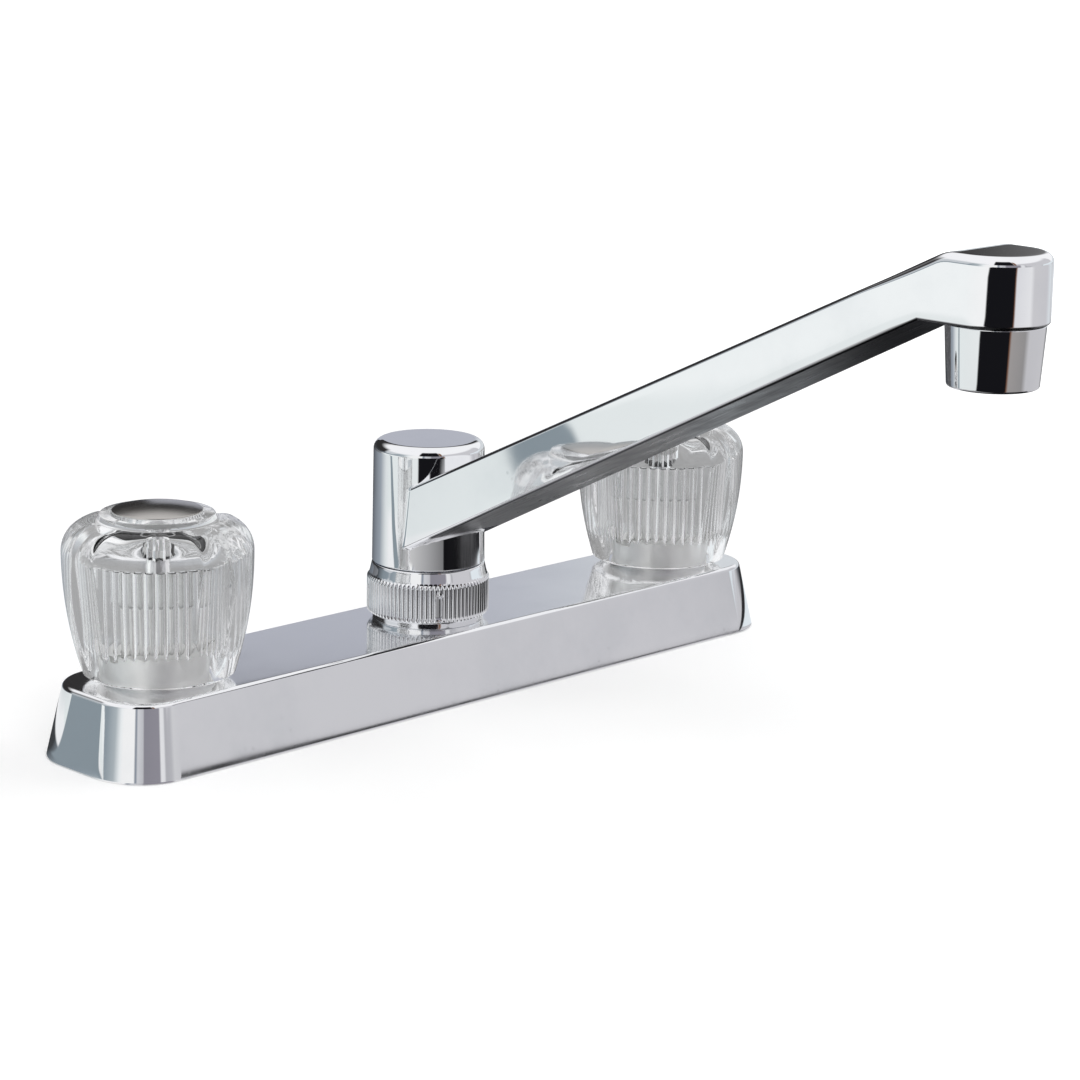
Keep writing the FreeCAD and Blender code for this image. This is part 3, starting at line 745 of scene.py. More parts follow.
def rootRows(roots):
    # the fillet: from the hub's skin along a quadratic curve onto each line along the arm.
    # Its reach is r tan(bend / 2), where bend is the angle between hub and arm there
    (startL, alongL), (startR, alongR) = roots
    loop = np.vstack([startL, startR[::-1][1:-1]])
    along = np.vstack([alongL, alongR[::-1][1:-1]])
    turn = np.unwrap(np.arctan2(loop[:, 1], loop[:, 0]))
    radius = hubRadiusAt(loop[:, 2])
    flat = np.stack([turn * radius, loop[:, 2]], axis=-1)
    run = np.roll(flat, -1, axis=0) - np.roll(flat, 1, axis=0)
    out = np.stack([run[:, 1], -run[:, 0]], axis=-1)
    out /= np.maximum(np.linalg.norm(out, axis=1, keepdims=True), 1e-9)
    if ((flat - flat.mean(axis=0)) * out).sum() < 0:
        out = -out
    outward = np.stack([-np.sin(turn) * out[:, 0], np.cos(turn) * out[:, 0], out[:, 1]], axis=-1)
    bend = math.pi - np.arccos(np.clip(-(outward * along).sum(axis=1), -1.0, 1.0))
    size = spout["rootFillet"] * np.tan(np.clip(bend, 0.05, 2.1) / 2.0)
    size = np.clip(size, *spout["rootReach"])
    foot, sunk = (hubPoint(turn + out[:, 0] * size / radius, flat[:, 1] + out[:, 1] * size, sink)
                  for sink in spout["rootSink"])
    tip = loop + along * size[:, None]
    rows = [sunk, foot]
    for t in np.linspace(0.0, 1.0, 8)[1:]:
        rows.append((1 - t) ** 2 * foot + 2 * t * (1 - t) * loop + t * t * tip)
    return np.array(rows)


def makeSpout():
    # the arm's skin, the fillet round its root and a cone of faces that closes it in the hub
    body, roots = makeArm()
    stations, columns, _ = body.shape
    fillet = rootRows(roots)
    rows, around, _ = fillet.shape
    # the two ends of the body, left and right, form one loop round the arm at its root
    left = np.arange(columns)
    right = (stations - 1) * columns + np.arange(columns)
    ring = np.concatenate([left, right[::-1][1:-1]])
    start = stations * columns
    last = start + (rows - 1) * around + np.arange(around)
    nextOne = (np.arange(around) + 1) % around
    first = start + np.arange(around)
    inHub = np.full(around, start + rows * around)
    armPoints = np.vstack([body.reshape(-1, 3), fillet.reshape(-1, 3), [[0.0, -2.0, 54.0]]])
    armFaces = np.vstack([
        gridFaces(stations, columns, wrapColumns=False), gridFaces(rows, around) + start,
        np.stack([last, last[nextOne], ring[nextOne], ring], axis=-1),
        np.stack([first[nextOne], first, inHub, inHub], axis=-1)])
    s = spout
    profile = roundedPath([
        (0.0, 58.0), (s["bore"], 52.0), (s["bore"], s["tailBottom"]),
        (s["tail"], s["tailBottom"], 0.3), (s["tail"], s["neckBottom"]),
        (s["neck"], s["neckBottom"], 0.2), (s["neck"], s["grooveLow"], 0.2),
        (s["groove"], s["grooveLow"]), (s["groove"], s["grooveHigh"]),
        (s["neck"], s["grooveHigh"], 0.2), (s["neck"], s["hubBottom"]),
        (s["hubRadius"], s["hubBottom"], 0.35), (s["hubTopRadius"], s["hubTop"], s["hubRound"]),
        (0.0, s["hubTop"])], 10)
    return [(armPoints, armFaces), revolve(densePath(profile, 4.0), 216)]


# the arm's underside is rougher and carries painted shade
spoutChrome = makeChrome("spout chrome", 0.10, 34.0, (1.0, 0.7, 1.0), satin=underArmSatinAndShade)
makePiece("swing_spout", makeSpout(), spoutChrome, "swing_spout", ["spout"],
          sharp=20.0)


nut = {
    "radius": 17.65,       # in the valleys of the knurl
    "ridge": 0.62, "ribs": 80,
    "low": 23.5, "high": 34.5,    # ends of the knurl
    "bore": 14.6, "foot": 16.6, "footTop": 22.9, "crown": 16.75, "top": 38.5,
    "mouth": 13.0, "lipUnder": 36.4,
    "slots": 4, "slotAngle": 147.0, "slotHalf": 0.5, "slotDepth": 1.3, "slotTop": 30.8,
    "lip": 1.35,           # from the slot's middle to the crest of its lip
    "lipRise": 0.12,
}


def nutRadius(radius, height, angle):
    # the knurl adds ridge |cos|^0.7 between its ends; a slot with a raised lip cuts into it
    band = smoothStep(nut["low"] - 0.35, nut["low"] + 0.35, height) * (
        1.0 - smoothStep(nut["high"] - 0.3, nut["high"] + 0.3, height))
    knurl = nut["ridge"] * np.abs(np.cos(angle * nut["ribs"] / 2.0)) ** 0.7
    for index in range(nut["slots"]):
        middle = math.radians(nut["slotAngle"] + index * 360.0 / nut["slots"])
        across = (np.mod(angle - middle + math.pi, 2.0 * math.pi) - math.pi) * nut["radius"]
        far = np.hypot(across, np.maximum(height - nut["slotTop"], 0.0))
        inside = 1.0 - smoothStep(nut["slotHalf"], nut["slotHalf"] + 0.5, far)
        lip = 1.0 - smoothStep(nut["lip"] - 0.5, nut["lip"] + 0.3, far)
        knurl = knurl * (1.0 - lip) + (nut["ridge"] + nut["lipRise"]) * lip
        knurl = knurl * (1.0 - inside) - nut["slotDepth"] * inside
    return np.where(radius > 16.0, radius + knurl * band, radius)


nutProfile = roundedPath([
    (nut["bore"], coverTop), (nut["foot"], coverTop, 0.3), (nut["crown"], nut["footTop"], 0.3),
    (nut["radius"], nut["low"], 0.2), (nut["radius"], nut["high"] + 0.2, 0.3),
    (nut["crown"], nut["top"], 0.6), (nut["mouth"], nut["top"], 0.2),
    (nut["mouth"], nut["lipUnder"]), (nut["bore"], nut["lipUnder"]), (nut["bore"], coverTop)], 6)
nutShell = revolve(densePath(nutProfile, 0.7), 960, radiusAt=nutRadius)
nutChrome = makeChrome("nut chrome", 0.015, 60.0)
makePiece("spout_nut_shell", [nutShell], nutChrome, "deck_unit", ["spout_nut"],
          sharp=40.0)


aerator = {
    "top": 136.28, "bottom": 120.3, "radius": 12.6, "foot": 11.5, "mouth": 9.4,
    "thread": 11.9, "threadTop": 143.0, "bore": 10.2, "boreLow": 122.3,
}


def makeAerator():
    a = aerator
    profile = roundedPath([
        (a["bore"], a["threadTop"]), (a["bore"], a["boreLow"]), (a["mouth"], a["boreLow"], 0.2),
        (a["mouth"], a["bottom"], 0.4), (a["foot"], a["bottom"], 0.7),
        (a["radius"], a["top"], 0.35), (a["thread"], a["top"]), (a["thread"], a["threadTop"]),
        (a["bore"], a["threadTop"])], 8)
    return revolve(densePath(profile, 2.0), 192, (0.0, -spout["reach"]))


aeratorChrome = makeChrome("aerator chrome", 0.01, 40.0)
makePiece("aerator_shell", [makeAerator()], aeratorChrome, "swing_spout", ["aerator_housing"])


knob = {
    "bottom": 23.5, "foot": 21.0, "radius": 26.4, "wide": 58.0, "shoulder": 8.6,
    "lobes": 4, "hollowRadius": 10.6, "hollowDepth": 1.6, "hollowEnd": 0.3, "hollowLow": 24.1,
    "crest": 0.25,        # round between a hollow and the lobe beside it
    "collar": 16.0, "collarRise": 1.9, "collarSlope": 0.6,
    "cavity": 18.0, "cavityTop": 56.2, "flutes": 40, "fluteDepth": 0.9, "fluteLow": 31.1,
    "boss": 6.4, "bossBottom": 44.0,
    "spline": 3.8, "splineDepth": 0.45, "splineTeeth": 16, "splineTop": 57.8,
    "button": 12.6, "buttonSeat": 66.2, "screwHead": 4.2, "screwSeat": 63.5, "screw": 2.3,
    "columns": 480,
}


def hollowCut(radius, height, angle):
    # how deep the round tool of each hollow reaches below the skin: sqrt(R^2 - y^2) - D,
    # where y is the way across from the hollow's middle and D the distance to the tool's axis
    k = knob
    tool = k["hollowRadius"]
    sweep = k["shoulder"] + tool - k["hollowDepth"]
    centre = k["radius"] - k["shoulder"]
    footR = k["foot"] + tool - k["hollowEnd"]
    footZ = k["bottom"] - 1.0
    lean = math.atan2(centre + sweep - footR, k["wide"] - footZ)
    step = 2.0 * math.pi / k["lobes"]
    local = np.mod(angle + step / 2.0, step) - step / 2.0
    x = radius * np.cos(local)
    y = radius * np.sin(local)
    startR = centre + sweep * math.cos(lean)
    startZ = k["wide"] - sweep * math.sin(lean)
    onSide = (startR - x) * math.cos(lean) - (startZ - height) * math.sin(lean)
    onShoulder = sweep - np.hypot(x - centre, height - k["wide"])
    above = (height - k["wide"]) > -(x - centre) * math.tan(lean)
    distance = np.where(above, onShoulder, onSide)
    reach = np.sqrt(np.maximum(tool ** 2 - y ** 2, 0.01)) - distance
    return 0.5 * (reach + np.sqrt(reach * reach + k["crest"] * k["crest"]))


def knobShape(rows):
    # rows are (radius, height, zone, normalR, normalZ); each zone has its own wave round the axis
    k = knob
    angle = np.arange(k["columns"])[None, :] * 2.0 * math.pi / k["columns"]
    radius = np.repeat(rows[:, :1], k["columns"], axis=1)
    height = np.repeat(rows[:, 1:2], k["columns"], axis=1)
    zone = rows[:, 2:3]
    cut = hollowCut(radius, height, angle) * smoothStep(k["hollowLow"], k["hollowLow"] + 3.0,
                                                        height)
    cut = cut * smoothStep(k["collar"] + 0.6, k["collar"] + 3.0, radius)
    radius = np.where(zone == 1, radius - cut * rows[:, 3:4], radius)
    height = np.where(zone == 1, height - cut * rows[:, 4:5], height)
    wave = np.abs(np.cos(angle * k["flutes"] / 2.0)) ** 0.85
    depth = k["fluteDepth"] * smoothStep(k["fluteLow"], k["fluteLow"] + 2.2, height)
    fluted = k["cavity"] - k["fluteDepth"] / 2 + depth * (wave - 0.5)
    radius = np.where(zone == 2, fluted, radius)
    teeth = np.abs(2.0 * np.mod(angle * k["splineTeeth"] / (2.0 * math.pi), 1.0) - 1.0)
    radius = np.where(zone == 3, k["spline"] - k["splineDepth"] * (1.0 - teeth), radius)
    return np.stack([radius * np.cos(angle), radius * np.sin(angle), height], axis=-1)


def zoned(points, zone):
    return np.column_stack([points, np.full(len(points), float(zone)), np.zeros((len(points), 2))])


def knobRows():
    # the whole wall as one closed line: skin, collar, recess, socket, cavity and mouth
    k = knob
    drop = k["wide"] - k["bottom"]
    inset = k["radius"] - k["foot"]
    bulge = (drop * drop + inset * inset) / (2.0 * inset)
    heights = np.linspace(k["bottom"] + 0.5, k["wide"], 30)
    side = np.column_stack([k["radius"] - bulge + np.sqrt(bulge ** 2 - (k["wide"] - heights) ** 2),
                            heights])
    turn = np.linspace(0.0, math.pi / 2, 17)[1:]
    centre = k["radius"] - k["shoulder"]
    cap = np.column_stack([centre + k["shoulder"] * np.cos(turn),
                           k["wide"] + k["shoulder"] * np.sin(turn)])
    skin = np.vstack([side, cap])
    slope = np.gradient(skin, axis=0)
    slope /= np.linalg.norm(slope, axis=1, keepdims=True)
    skinRows = np.column_stack([skin, np.full(len(skin), 1.0), slope[:, 1], -slope[:, 0]])
    shoulder = k["wide"] + k["shoulder"]
    edge = shoulder + k["collarRise"]
    top = edge + k["collarSlope"]
    crown = roundedPath([
        (centre, shoulder), (k["collar"] + 0.45, shoulder, 0.7), (k["collar"] - 0.25, edge, 0.55),
        (k["button"] + 0.25, top, 0.12), (k["button"], top - 0.3), (k["button"], k["buttonSeat"]),
        (k["screwHead"], k["buttonSeat"]), (k["screwHead"], k["screwSeat"]),
        (k["screw"], k["screwSeat"]), (k["screw"], k["splineTop"])], 7)[1:]
    socket = np.array([(k["spline"], z) for z in np.linspace(k["splineTop"], k["bossBottom"], 5)])
    wall = k["cavity"] - k["fluteDepth"] / 2      # middle of the flutes, and the plain mouth
    roof = roundedPath([(k["boss"], k["bossBottom"]), (k["boss"], k["cavityTop"], 0.6),
                        (wall - 0.2, k["cavityTop"])], 5)
    flutes = np.column_stack([np.full(24, k["cavity"]),
                              np.linspace(k["cavityTop"] - 0.15, k["fluteLow"], 24)])
    mouth = np.array([(wall, 29.0), (wall, 26.5), (wall, 24.0), (wall + 0.5, k["bottom"])])
    rim = np.array([(k["foot"] - 0.9, k["bottom"]), (k["foot"] - 0.35, k["bottom"] + 0.12)])
    return np.vstack([zoned(rim, 0), skinRows, zoned(densePath(crown, 2.0), 0), zoned(socket, 3),
                      zoned(densePath(roof, 2.5), 0), zoned(flutes, 2), zoned(mouth, 0)])


clearAcrylic = makeAcrylic("clear acrylic")


def makeKnob(name, x, body, node):
    grid = knobShape(knobRows())
    rows, columns, _ = grid.shape
    points = grid.reshape(-1, 3) + np.array([x, 0.0, 0.0])
    makePiece(name, [(points, gridFaces(rows, columns, wrapRows=True))], clearAcrylic, body,
              [node], sharp=28.0)


button = {"radius": 12.5, "seat": 66.2, "rim": 69.35, "crown": 1.6}
buttonSilver = makeMetal("silvered button", (0.56, 0.54, 0.51), (0.46, 0.445, 0.42), 0.20, 120.0,
                         bump=0.01)
buttonBack = makeMoulding("button back", (0.80, 0.80, 0.80), (0.72, 0.72, 0.72), 0.35, 200.0)


def makeButton(name, x, body, node):
    # a shallow dome over a short rim; the dome's line is an arc of radius (r^2 + h^2) / 2h.
    # Its top is silvered, and its back is the pale moulding
    b = button
    bow = (b["radius"] ** 2 + b["crown"] ** 2) / (2.0 * b["crown"])
    across = np.linspace(b["radius"] - 0.25, 0.0, 24)
    dome = np.column_stack([across, b["rim"] + b["crown"] - bow + np.sqrt(bow ** 2 - across ** 2)])
    profile = np.vstack([[(0.0, b["seat"]), (b["radius"] - 0.2, b["seat"]),
                          (b["radius"], b["seat"] + 0.2), (b["radius"], b["rim"] - 0.15),
                          (b["radius"] - 0.08, b["rim"])], dome])
    piece = makePiece(name, [revolve(profile, 120, (x, 0.0))], buttonSilver, body, [node],
                      sharp=35.0)
    piece.data.materials.append(buttonBack)
    middle = np.empty(len(piece.data.polygons) * 3)
    piece.data.polygons.foreach_get("center", middle)
    back = (middle.reshape(-1, 3)[:, 2] < (b["rim"] - 0.1) * mm).astype(np.int32)
    piece.data.polygons.foreach_set("material_index", back)


for word, x in (("hot", -handleReach), ("cold", handleReach)):
    makeKnob(word + "_clear_knob", x, word + "_handle", word + "_knob")
    makeButton(word + "_silver_button", x, word + "_handle", word + "_index_button")


# The studio. Angles are degrees, azimuths run from +X, and the table's lengths are metres.
white = (1.0, 1.0, 1.0, 1.0)
black = (0.008, 0.008, 0.010)
darkRoom = (0.06, 0.062, 0.068)
frontGrey = (0.58, 0.575, 0.60)
rightGrey = (0.60, 0.595, 0.62)
paleRight = (0.80, 0.86, 0.90)
nearWhite = (0.96, 0.96, 0.96)

# what polished metal sees above the deck: (azimuth, half width, top, top's softness, sides'
# softness, colour)
studioPanels = (
    (150.0, 40.0, 25.0, 8.0, 10.0, (0.60, 0.63, 0.66)),        # pale wall at the left
    (78.0, 46.0, 32.0, 8.0, 6.0, (0.030, 0.029, 0.030)),       # dark room behind
    (228.0, 22.0, 60.0, 5.0, 2.0, black),                      # gap at the camera
    (253.0, 3.0, 52.0, 6.0, 1.5, (0.20, 0.10, 0.06)),          # wooden stand beside it
    (306.0, 50.0, 34.0, 6.0, 3.0, (0.62, 0.615, 0.645)),       # pale grey screen at the right
)

# the low walls round the room, up to a few degrees: (azimuth, colour) stops
lowWalls = (
    (0.0, paleRight), (30.0, paleRight), (40.0, (0.35, 0.37, 0.41)),
    (50.0, (0.04, 0.04, 0.045)), (108.0, (0.05, 0.055, 0.06)), (116.0, (0.14, 0.16, 0.18)),
    (128.0, (0.245, 0.29, 0.325)), (150.0, (0.28, 0.33, 0.37)), (172.0, (0.44, 0.49, 0.52)),
    (184.0, (0.88, 0.91, 0.92)), (190.0, nearWhite), (212.5, nearWhite),
    (214.2, (0.28, 0.31, 0.36)), (217.0, (0.28, 0.31, 0.36)), (218.8, (0.66, 0.67, 0.70)),
    (229.8, (0.55, 0.55, 0.58)), (232.0, (0.27, 0.262, 0.30)), (262.0, (0.29, 0.28, 0.32)),
    (264.5, (0.82, 0.82, 0.84)), (271.0, (0.80, 0.80, 0.82)), (274.0, (0.46, 0.46, 0.49)),
    (285.0, (0.50, 0.50, 0.53)), (292.0, (0.65, 0.65, 0.67)), (316.0, (0.61, 0.605, 0.635)),
    (319.0, (0.50, 0.50, 0.52)), (322.0, paleRight),
)

studio = {
    "overhead": (0.98, 0.98, 1.0, 1.0),
    "wallTop": (5.0, 7.0),            # where the low walls end
    "lift": 14.0,                     # how much higher they are on the camera's side
    "liftStart": (144.0, 162.0), "liftEnd": (271.8, 279.0),
    "diffuse": 0.62,                  # strength of the world for diffuse light
    "clearRoom": 0.85,                # how white the room is through clear pieces
    "throughClear": 0.32,             # and how white it gets for metal seen through them
}


def rampTone(tree, azimuth, stops):
    # a colour ramp once round the compass
    ramp = tree.add("ShaderNodeValToRGB")
    tree.join(azimuth, ramp.inputs[0])
    marks = ramp.color_ramp.elements
    while len(marks) < len(stops) + 1:
        marks.new(0.5)
    for mark, (degrees, tone) in zip(marks, stops + ((360.0, stops[0][1]),)):
        mark.position = degrees / 360.0
        mark.color = (*tone, 1.0)
    return ramp.outputs[0]


def compass(tree, x, y):
    # the azimuth of (x, y) as a share of the full turn
    turn = tree.math("ARCTAN2", y, x)
    return tree.math("FRACT", tree.plus(tree.math("DIVIDE", turn, 2.0 * math.pi), 1.0))


def flatLength(tree, x, y):
    return tree.math("SQRT", tree.plus(tree.times(x, x), tree.times(y, y)))


def makeLowWalls():
    group, tree, given, out = groupWith("low walls", [("Azimuth", "Float", 0.0)],
                                        [("Color", "Color")])
    tree.join(rampTone(tree, given.outputs["Azimuth"], lowWalls), out.inputs["Color"])
    return group


lowWallTones = makeLowWalls()


def wallTone(tree, azimuth):
    walls = useGroup(tree, lowWallTones)
    tree.join(azimuth, walls.inputs["Azimuth"])
    return walls.outputs["Color"]


def throughClear(tree, rays, tone):
    # what is mirrored in metal inside the clear knobs looks paler
    share = tree.span(rays.outputs["Transmission Depth"], 0.0, 1.0, 0.0, studio["throughClear"],
                      "LINEAR")
    return tree.mix(share, tone, white)


def roomTone(tree):
    # the room by direction: overhead white, the panels over it and the low walls in front
    x, y, z = tree.split(tree.add("ShaderNodeTexCoord").outputs["Generated"])
    level = tree.times(tree.math("ARCSINE", z), 180.0 / math.pi)
    flat = tree.math("MAXIMUM", flatLength(tree, x, y), 1e-3)
    colour = studio["overhead"]
    for azimuth, half, high, soft, edge, tone in studioPanels:
        turn = math.radians(azimuth)
        along = tree.plus(tree.times(x, math.cos(turn)), tree.times(y, math.sin(turn)))
        level1 = tree.math("MINIMUM", tree.math("DIVIDE", along, flat), 1.0)
        away = tree.times(tree.math("ARCCOSINE", level1), 180.0 / math.pi)
        wide = tree.span(away, half - edge, half + edge, 1.0, 0.0)
        over = tree.span(level, high - soft, high + soft, 1.0, 0.0)
        colour = tree.mix(tree.times(wide, over), colour, (*tone, 1.0))
    turned = compass(tree, x, y)
    first, full = (degrees / 360.0 for degrees in studio["liftStart"])
    falling, gone = (degrees / 360.0 for degrees in studio["liftEnd"])
    lift = tree.times(tree.span(turned, first, full, 0.0, studio["lift"]),
                      tree.span(turned, falling, gone, 1.0, 0.0))
    low = tree.span(tree.minus(level, lift), *studio["wallTop"], 1.0, 0.0)
    return tree.mix(low, colour, wallTone(tree, turned))


def makeWorld():
    # the camera and diffuse light see plain white, clear pieces a pale room, metal the room
    world = bpy.data.worlds.new("studio")
    bpy.context.scene.world = world
    world.use_nodes = True
    tree = Tree(world.node_tree)
    back = world.node_tree.nodes["Background"]
    out = world.node_tree.nodes["World Output"]
    colour = roomTone(tree)
    rays = tree.add("ShaderNodeLightPath")
    metal = tree.add("ShaderNodeBackground")
    tree.join(throughClear(tree, rays, colour), metal.inputs["Color"])
    clear = tree.add("ShaderNodeBackground")
    tree.join(tree.mix(studio["clearRoom"], colour, white), clear.inputs["Color"])
    back.inputs["Color"].default_value = white
    tree.join(tree.span(rays.outputs["Is Camera Ray"], 0.0, 1.0, studio["diffuse"], 1.0, "LINEAR"),
              back.inputs["Strength"])
    seen = back.outputs[0]
    for kind, other in (("Is Transmission Ray", clear), ("Is Glossy Ray", metal)):
        choice = tree.add("ShaderNodeMixShader")
        tree.join(rays.outputs[kind], choice.inputs[0])
        tree.join(seen, choice.inputs[1])
        tree.join(other.outputs[0], choice.inputs[2])
        seen = choice.outputs[0]
    tree.join(seen, out.inputs[0])


# painted reflections that polished metal sees on the table in place of its pale colour: rings about
# the middle, each with (azimuth, colour) stops
paintedReflectionRings = {
    "close": ((0.0, (0.03, 0.03, 0.033)), (12.0, (0.04, 0.04, 0.045)),
              (40.0, (0.05, 0.052, 0.058)), (80.0, (0.17, 0.19, 0.22)),
              (112.0, (0.32, 0.36, 0.41)), (131.0, (0.76, 0.80, 0.81)),
              (142.0, (0.92, 0.93, 0.94)), (158.0, (0.92, 0.93, 0.94)),
              (190.0, (0.60, 0.60, 0.60)), (220.0, (0.42, 0.42, 0.43)),
              (256.0, (0.20, 0.20, 0.205)), (257.5, (0.006, 0.006, 0.007))),
    "middle": ((0.0, (0.08, 0.085, 0.095)), (30.0, darkRoom),
               (60.0, (0.07, 0.075, 0.085)), (85.0, (0.18, 0.20, 0.23)),
               (112.0, (0.34, 0.38, 0.43)), (130.0, (0.76, 0.80, 0.81)),
               (142.0, (0.82, 0.87, 0.87)), (204.0, (0.84, 0.87, 0.87)),
               (206.5, black), (294.0, black), (297.0, frontGrey), (345.0, rightGrey)),
    "far": ((0.0, (0.25, 0.25, 0.26)), (22.0, (0.05, 0.052, 0.056)),
            (75.0, darkRoom), (108.0, (0.22, 0.23, 0.25)),
            (126.0, (0.80, 0.85, 0.85)), (150.0, (0.84, 0.88, 0.88)),
            (204.0, (0.86, 0.89, 0.89)), (206.0, black), (255.0, black),
            (256.5, (0.20, 0.09, 0.05)), (259.0, (0.36, 0.34, 0.335)),
            (283.0, (0.31, 0.30, 0.30)), (292.0, frontGrey), (345.0, rightGrey)),
    "back": ((0.0, (0.55, 0.55, 0.57)), (22.0, (0.05, 0.052, 0.056)),
             (75.0, darkRoom), (108.0, (0.22, 0.23, 0.25)),
             (126.0, (0.88, 0.92, 0.92)), (150.0, (0.95, 0.98, 0.98)),
             (204.0, (0.98, 0.98, 0.98)), (206.0, black), (254.5, black),
             (256.5, (0.20, 0.09, 0.05)), (258.5, (0.76, 0.76, 0.79)),
             (286.0, (0.84, 0.84, 0.86)), (294.0, (0.63, 0.625, 0.65)),
             (330.0, (0.61, 0.605, 0.635)), (345.0, (0.74, 0.78, 0.82))),
}
tableEdges = (("middle", 0.255, 0.285), ("far", 0.40, 0.50), ("back", 0.70, 0.80))
coverEnds = {
    "reach": {-0.114: 0.075, 0.114: 0.070},   # how far the walls' tones go round each end
    "y": -0.0085, "fade": 0.015, "half": 0.005,
}
endStrip = {
    "x": -0.128, "azimuth": 130.0, "start": (0.02, 0.03), "end": (0.60, 0.80),
    "half": (0.014, 0.020), "tone": (0.26, 0.31, 0.345, 1.0),
}
frontStrip = {
    "front": (-0.095, -0.075), "back": (0.0, 0.010), "half": (0.105, 0.118),
    "tone": (0.63, 0.625, 0.65, 1.0),
}


# painted reflections: dark and light tones that only rays off polished metal see on the table
def paintedReflectionTone(tree, x, y, away):
    turn = compass(tree, x, y)
    tone = rampTone(tree, turn, paintedReflectionRings["close"])
    for ring, start, end in tableEdges:
        tone = tree.mix(tree.span(away, start, end), tone, rampTone(tree, turn, paintedReflectionRings[ring]))
    # round each end of the cover the table takes up the tones of the walls beyond it
    for cornerX, reach in coverEnds["reach"].items():
        across = tree.minus(x, cornerX)
        along = tree.minus(y, coverEnds["y"])
        near = tree.span(flatLength(tree, across, along), reach, reach + coverEnds["fade"],
                         1.0, 0.0)
        if cornerX > 0.0:
            near = tree.times(near, tree.span(across, -coverEnds["half"], coverEnds["half"]))
        tone = tree.mix(near, tone, wallTone(tree, compass(tree, across, along)))
    # the painted reflection strip that the cover's left end mirrors
    turned = math.radians(endStrip["azimuth"])
    offX = tree.minus(x, endStrip["x"])
    along = tree.plus(tree.times(offX, math.cos(turned)), tree.times(y, math.sin(turned)))
    across = tree.math("ABSOLUTE", tree.minus(tree.times(y, math.cos(turned)),
                                              tree.times(offX, math.sin(turned))))
    strip = tree.times(tree.span(along, *endStrip["start"]),
                       tree.span(along, *endStrip["end"], 1.0, 0.0))
    strip = tree.times(strip, tree.span(across, *endStrip["half"], 1.0, 0.0))
    tone = tree.mix(strip, tone, endStrip["tone"])
    # and the one that its front mirrors
    front = tree.times(tree.span(y, *frontStrip["front"]),
                       tree.span(y, *frontStrip["back"], 1.0, 0.0))
    front = tree.times(front, tree.span(tree.math("ABSOLUTE", x), *frontStrip["half"], 1.0, 0.0))
    return tree.mix(front, tone, frontStrip["tone"])


def flatStage(name, corners, material):
    mesh = bpy.data.meshes.new(name)
    mesh.from_pydata(corners, [], [(0, 1, 2, 3)])
    mesh.materials.append(material)
    piece = bpy.data.objects.new(name, mesh)
    bpy.context.scene.collection.objects.link(piece)
    return piece


table = {
    "size": 6.0,
    "pale": (0.86, 0.86, 0.86, 1.0), "paler": (0.90, 0.90, 0.90, 1.0), "roughness": 0.8,
    "glowAway": (0.30, 1.40), "glow": (0.22, 1.0),   # towards the camera, from near to far
    "clearGlow": 0.6,                                # as seen through the clear knobs
}


def makeFloor():
    # a pale matt table; metal sees painted reflection tones on it, and from below it is clear
    material, tree, shader = newMaterial("pale table")
    out = material.node_tree.nodes["Material Output"]
    place = tree.place()
    x, y, _ = tree.split(place)
    length = tree.add("ShaderNodeVectorMath", operation="LENGTH")
    tree.join(place, length.inputs[0])
    away = length.outputs["Value"]
    speck = tree.add("ShaderNodeTexNoise")
    tree.join(place, speck.inputs["Vector"])
    speck.inputs["Scale"].default_value = 40.0
    tree.join(tree.mix(speck.outputs[0], table["pale"], table["paler"]),
              shader.inputs["Base Color"])
    shader.inputs["Roughness"].default_value = table["roughness"]
    rays = tree.add("ShaderNodeLightPath")
    glow = tree.add("ShaderNodeEmission")
    bright = tree.span(away, *table["glowAway"], *table["glow"])
    tree.join(tree.plus(tree.times(rays.outputs["Is Camera Ray"], bright),
                        tree.times(rays.outputs["Is Transmission Ray"], table["clearGlow"])),
              glow.inputs["Strength"])
    lit = tree.add("ShaderNodeAddShader")
    tree.join(shader.outputs[0], lit.inputs[0])
    tree.join(glow.outputs[0], lit.inputs[1])
    mirrored = tree.add("ShaderNodeEmission")
    tree.join(throughClear(tree, rays, paintedReflectionTone(tree, x, y, away)), mirrored.inputs["Color"])
    mirror = tree.add("ShaderNodeMixShader")
    tree.join(rays.outputs["Is Glossy Ray"], mirror.inputs[0])
    tree.join(lit.outputs[0], mirror.inputs[1])
    tree.join(mirrored.outputs[0], mirror.inputs[2])
    through = tree.add("ShaderNodeBsdfTransparent")
    side = tree.add("ShaderNodeNewGeometry")
    final = tree.add("ShaderNodeMixShader")
    tree.join(side.outputs["Backfacing"], final.inputs[0])
    tree.join(mirror.outputs[0], final.inputs[1])
    tree.join(through.outputs[0], final.inputs[2])
    tree.join(final.outputs[0], out.inputs[0])
    size = table["size"]
    floor = flatStage("floor", [(-size, -size, 0), (size, -size, 0), (size, size, 0),
                                (-size, size, 0)], material)


# a low pale screen behind the faucet, seen only in its polished faces
screen = {"away": 0.62, "left": -0.17, "right": 0.75, "top": 0.235, "bottom": 0.001,
          "near": (0.47, 0.485, 0.55, 1.0), "far": (0.70, 0.73, 0.76, 1.0),
          "paler": (-0.02, 0.14),    # where the near tone passes into the far one
          "ahead": (0.7071, 0.7071, 0.0), "aside": (0.7071, -0.7071, 0.0)}


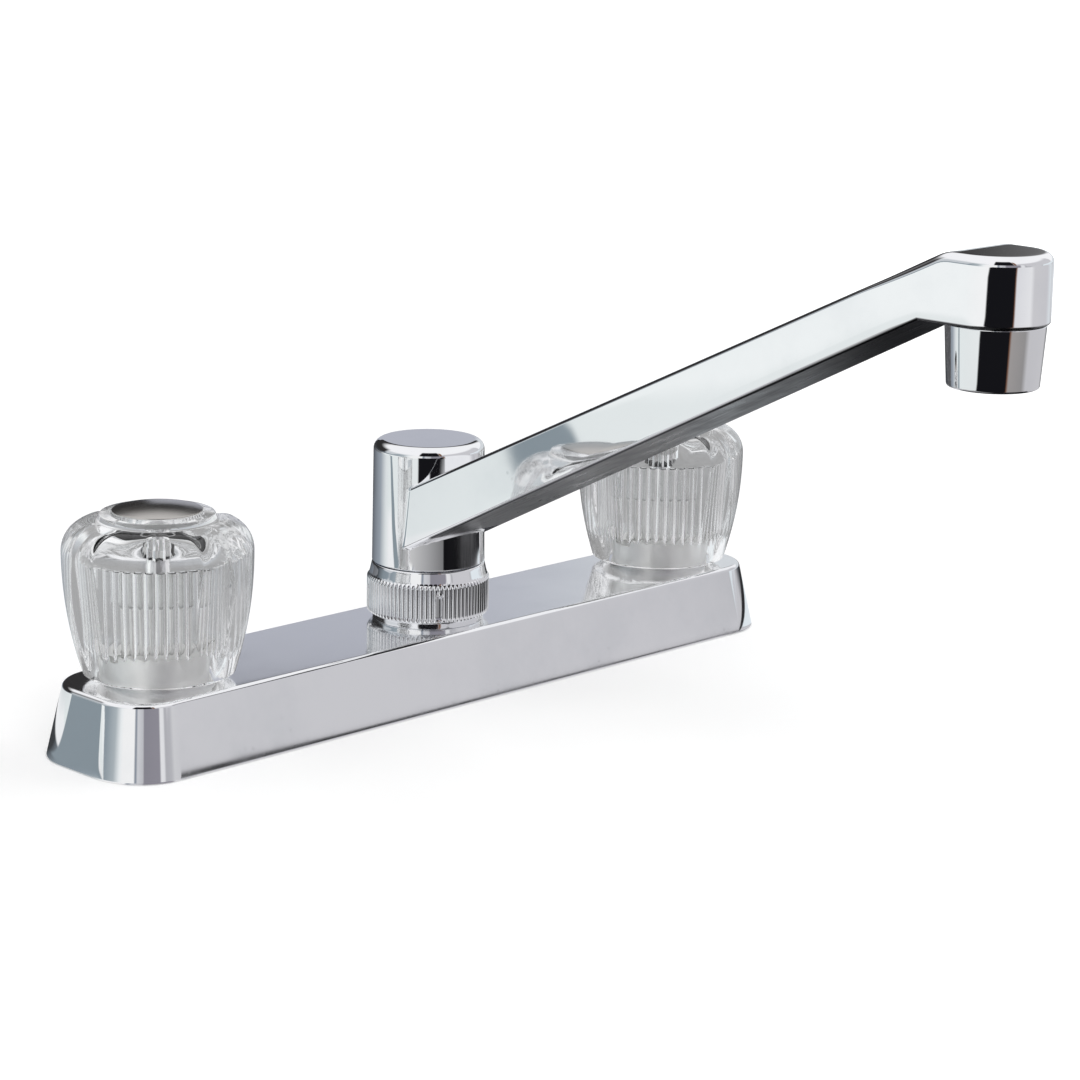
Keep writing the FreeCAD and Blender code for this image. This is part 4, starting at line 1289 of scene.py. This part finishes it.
def makeScreen():
    material, tree, shader = newMaterial("back screen")
    tree.tree.nodes.remove(shader)
    across = tree.add("ShaderNodeVectorMath", operation="DOT_PRODUCT")
    tree.join(tree.place(), across.inputs[0])
    across.inputs[1].default_value = screen["aside"]
    share = tree.span(across.outputs["Value"], *screen["paler"])
    glow = tree.add("ShaderNodeEmission")
    tree.join(tree.mix(share, screen["near"], screen["far"]), glow.inputs["Color"])
    tree.join(glow.outputs[0], material.node_tree.nodes["Material Output"].inputs[0])
    middle = np.array(screen["ahead"]) * screen["away"]
    corners = [(middle + np.array(screen["aside"]) * screen[key]
                + np.array([0.0, 0.0, screen[level]])).tolist()
               for key, level in (("left", "bottom"), ("right", "bottom"), ("right", "top"),
                                  ("left", "top"))]
    piece = flatStage("back_screen", corners, material)
    piece.visible_camera = False
    piece.visible_diffuse = False
    piece.visible_transmission = False
    piece.visible_shadow = False


def makeLamps():
    # two wide soft lamps, kept out of the reflections
    for name, place, size, power in (("key", (-0.9, -1.1, 1.5), 1.4, 16.0),
                                     ("fill", (1.2, -0.6, 1.2), 1.2, 8.0)):
        lamp = bpy.data.lights.new(name, "AREA")
        lamp.size = size
        lamp.energy = power
        holder = bpy.data.objects.new(name, lamp)
        holder.location = place
        holder.rotation_euler = (Vector((0.0, 0.0, 0.05)) - Vector(place)).to_track_quat(
            "-Z", "Y").to_euler()
        holder.visible_glossy = False
        holder.visible_transmission = False
        bpy.context.scene.collection.objects.link(holder)


# fitted to the photograph's edges
camera = {
    "lens": 101.297, "sensor": 36.0, "near": 0.05, "far": 50.0,
    "place": (-0.60339627, -0.64401715, 0.25683321),
    "right": (0.7060503, -0.70798096, 0.01599799),
    "up": (0.15440484, 0.17595254, 0.97221389),
    "back": (-0.69112381, -0.68396174, 0.23354703),
}


def makeCamera():
    data = bpy.data.cameras.new("camera")
    data.sensor_width = camera["sensor"]
    data.lens = camera["lens"]
    data.clip_start = camera["near"]
    data.clip_end = camera["far"]
    view = bpy.data.objects.new("camera", data)
    turn = Matrix((camera["right"], camera["up"], camera["back"])).transposed().to_4x4()
    view.matrix_world = Matrix.Translation(camera["place"]) @ turn
    bpy.context.scene.collection.objects.link(view)
    bpy.context.scene.camera = view


makeWorld()
makeFloor()
makeScreen()
makeLamps()
makeCamera()
bpy.context.scene.view_settings.view_transform = "Standard"
# light goes round and round in the clear knobs before it comes out
bpy.context.scene.cycles.max_bounces = 32
bpy.context.scene.cycles.transmission_bounces = 32
bpy.context.scene.cycles.glossy_bounces = 24
print("studio ready")
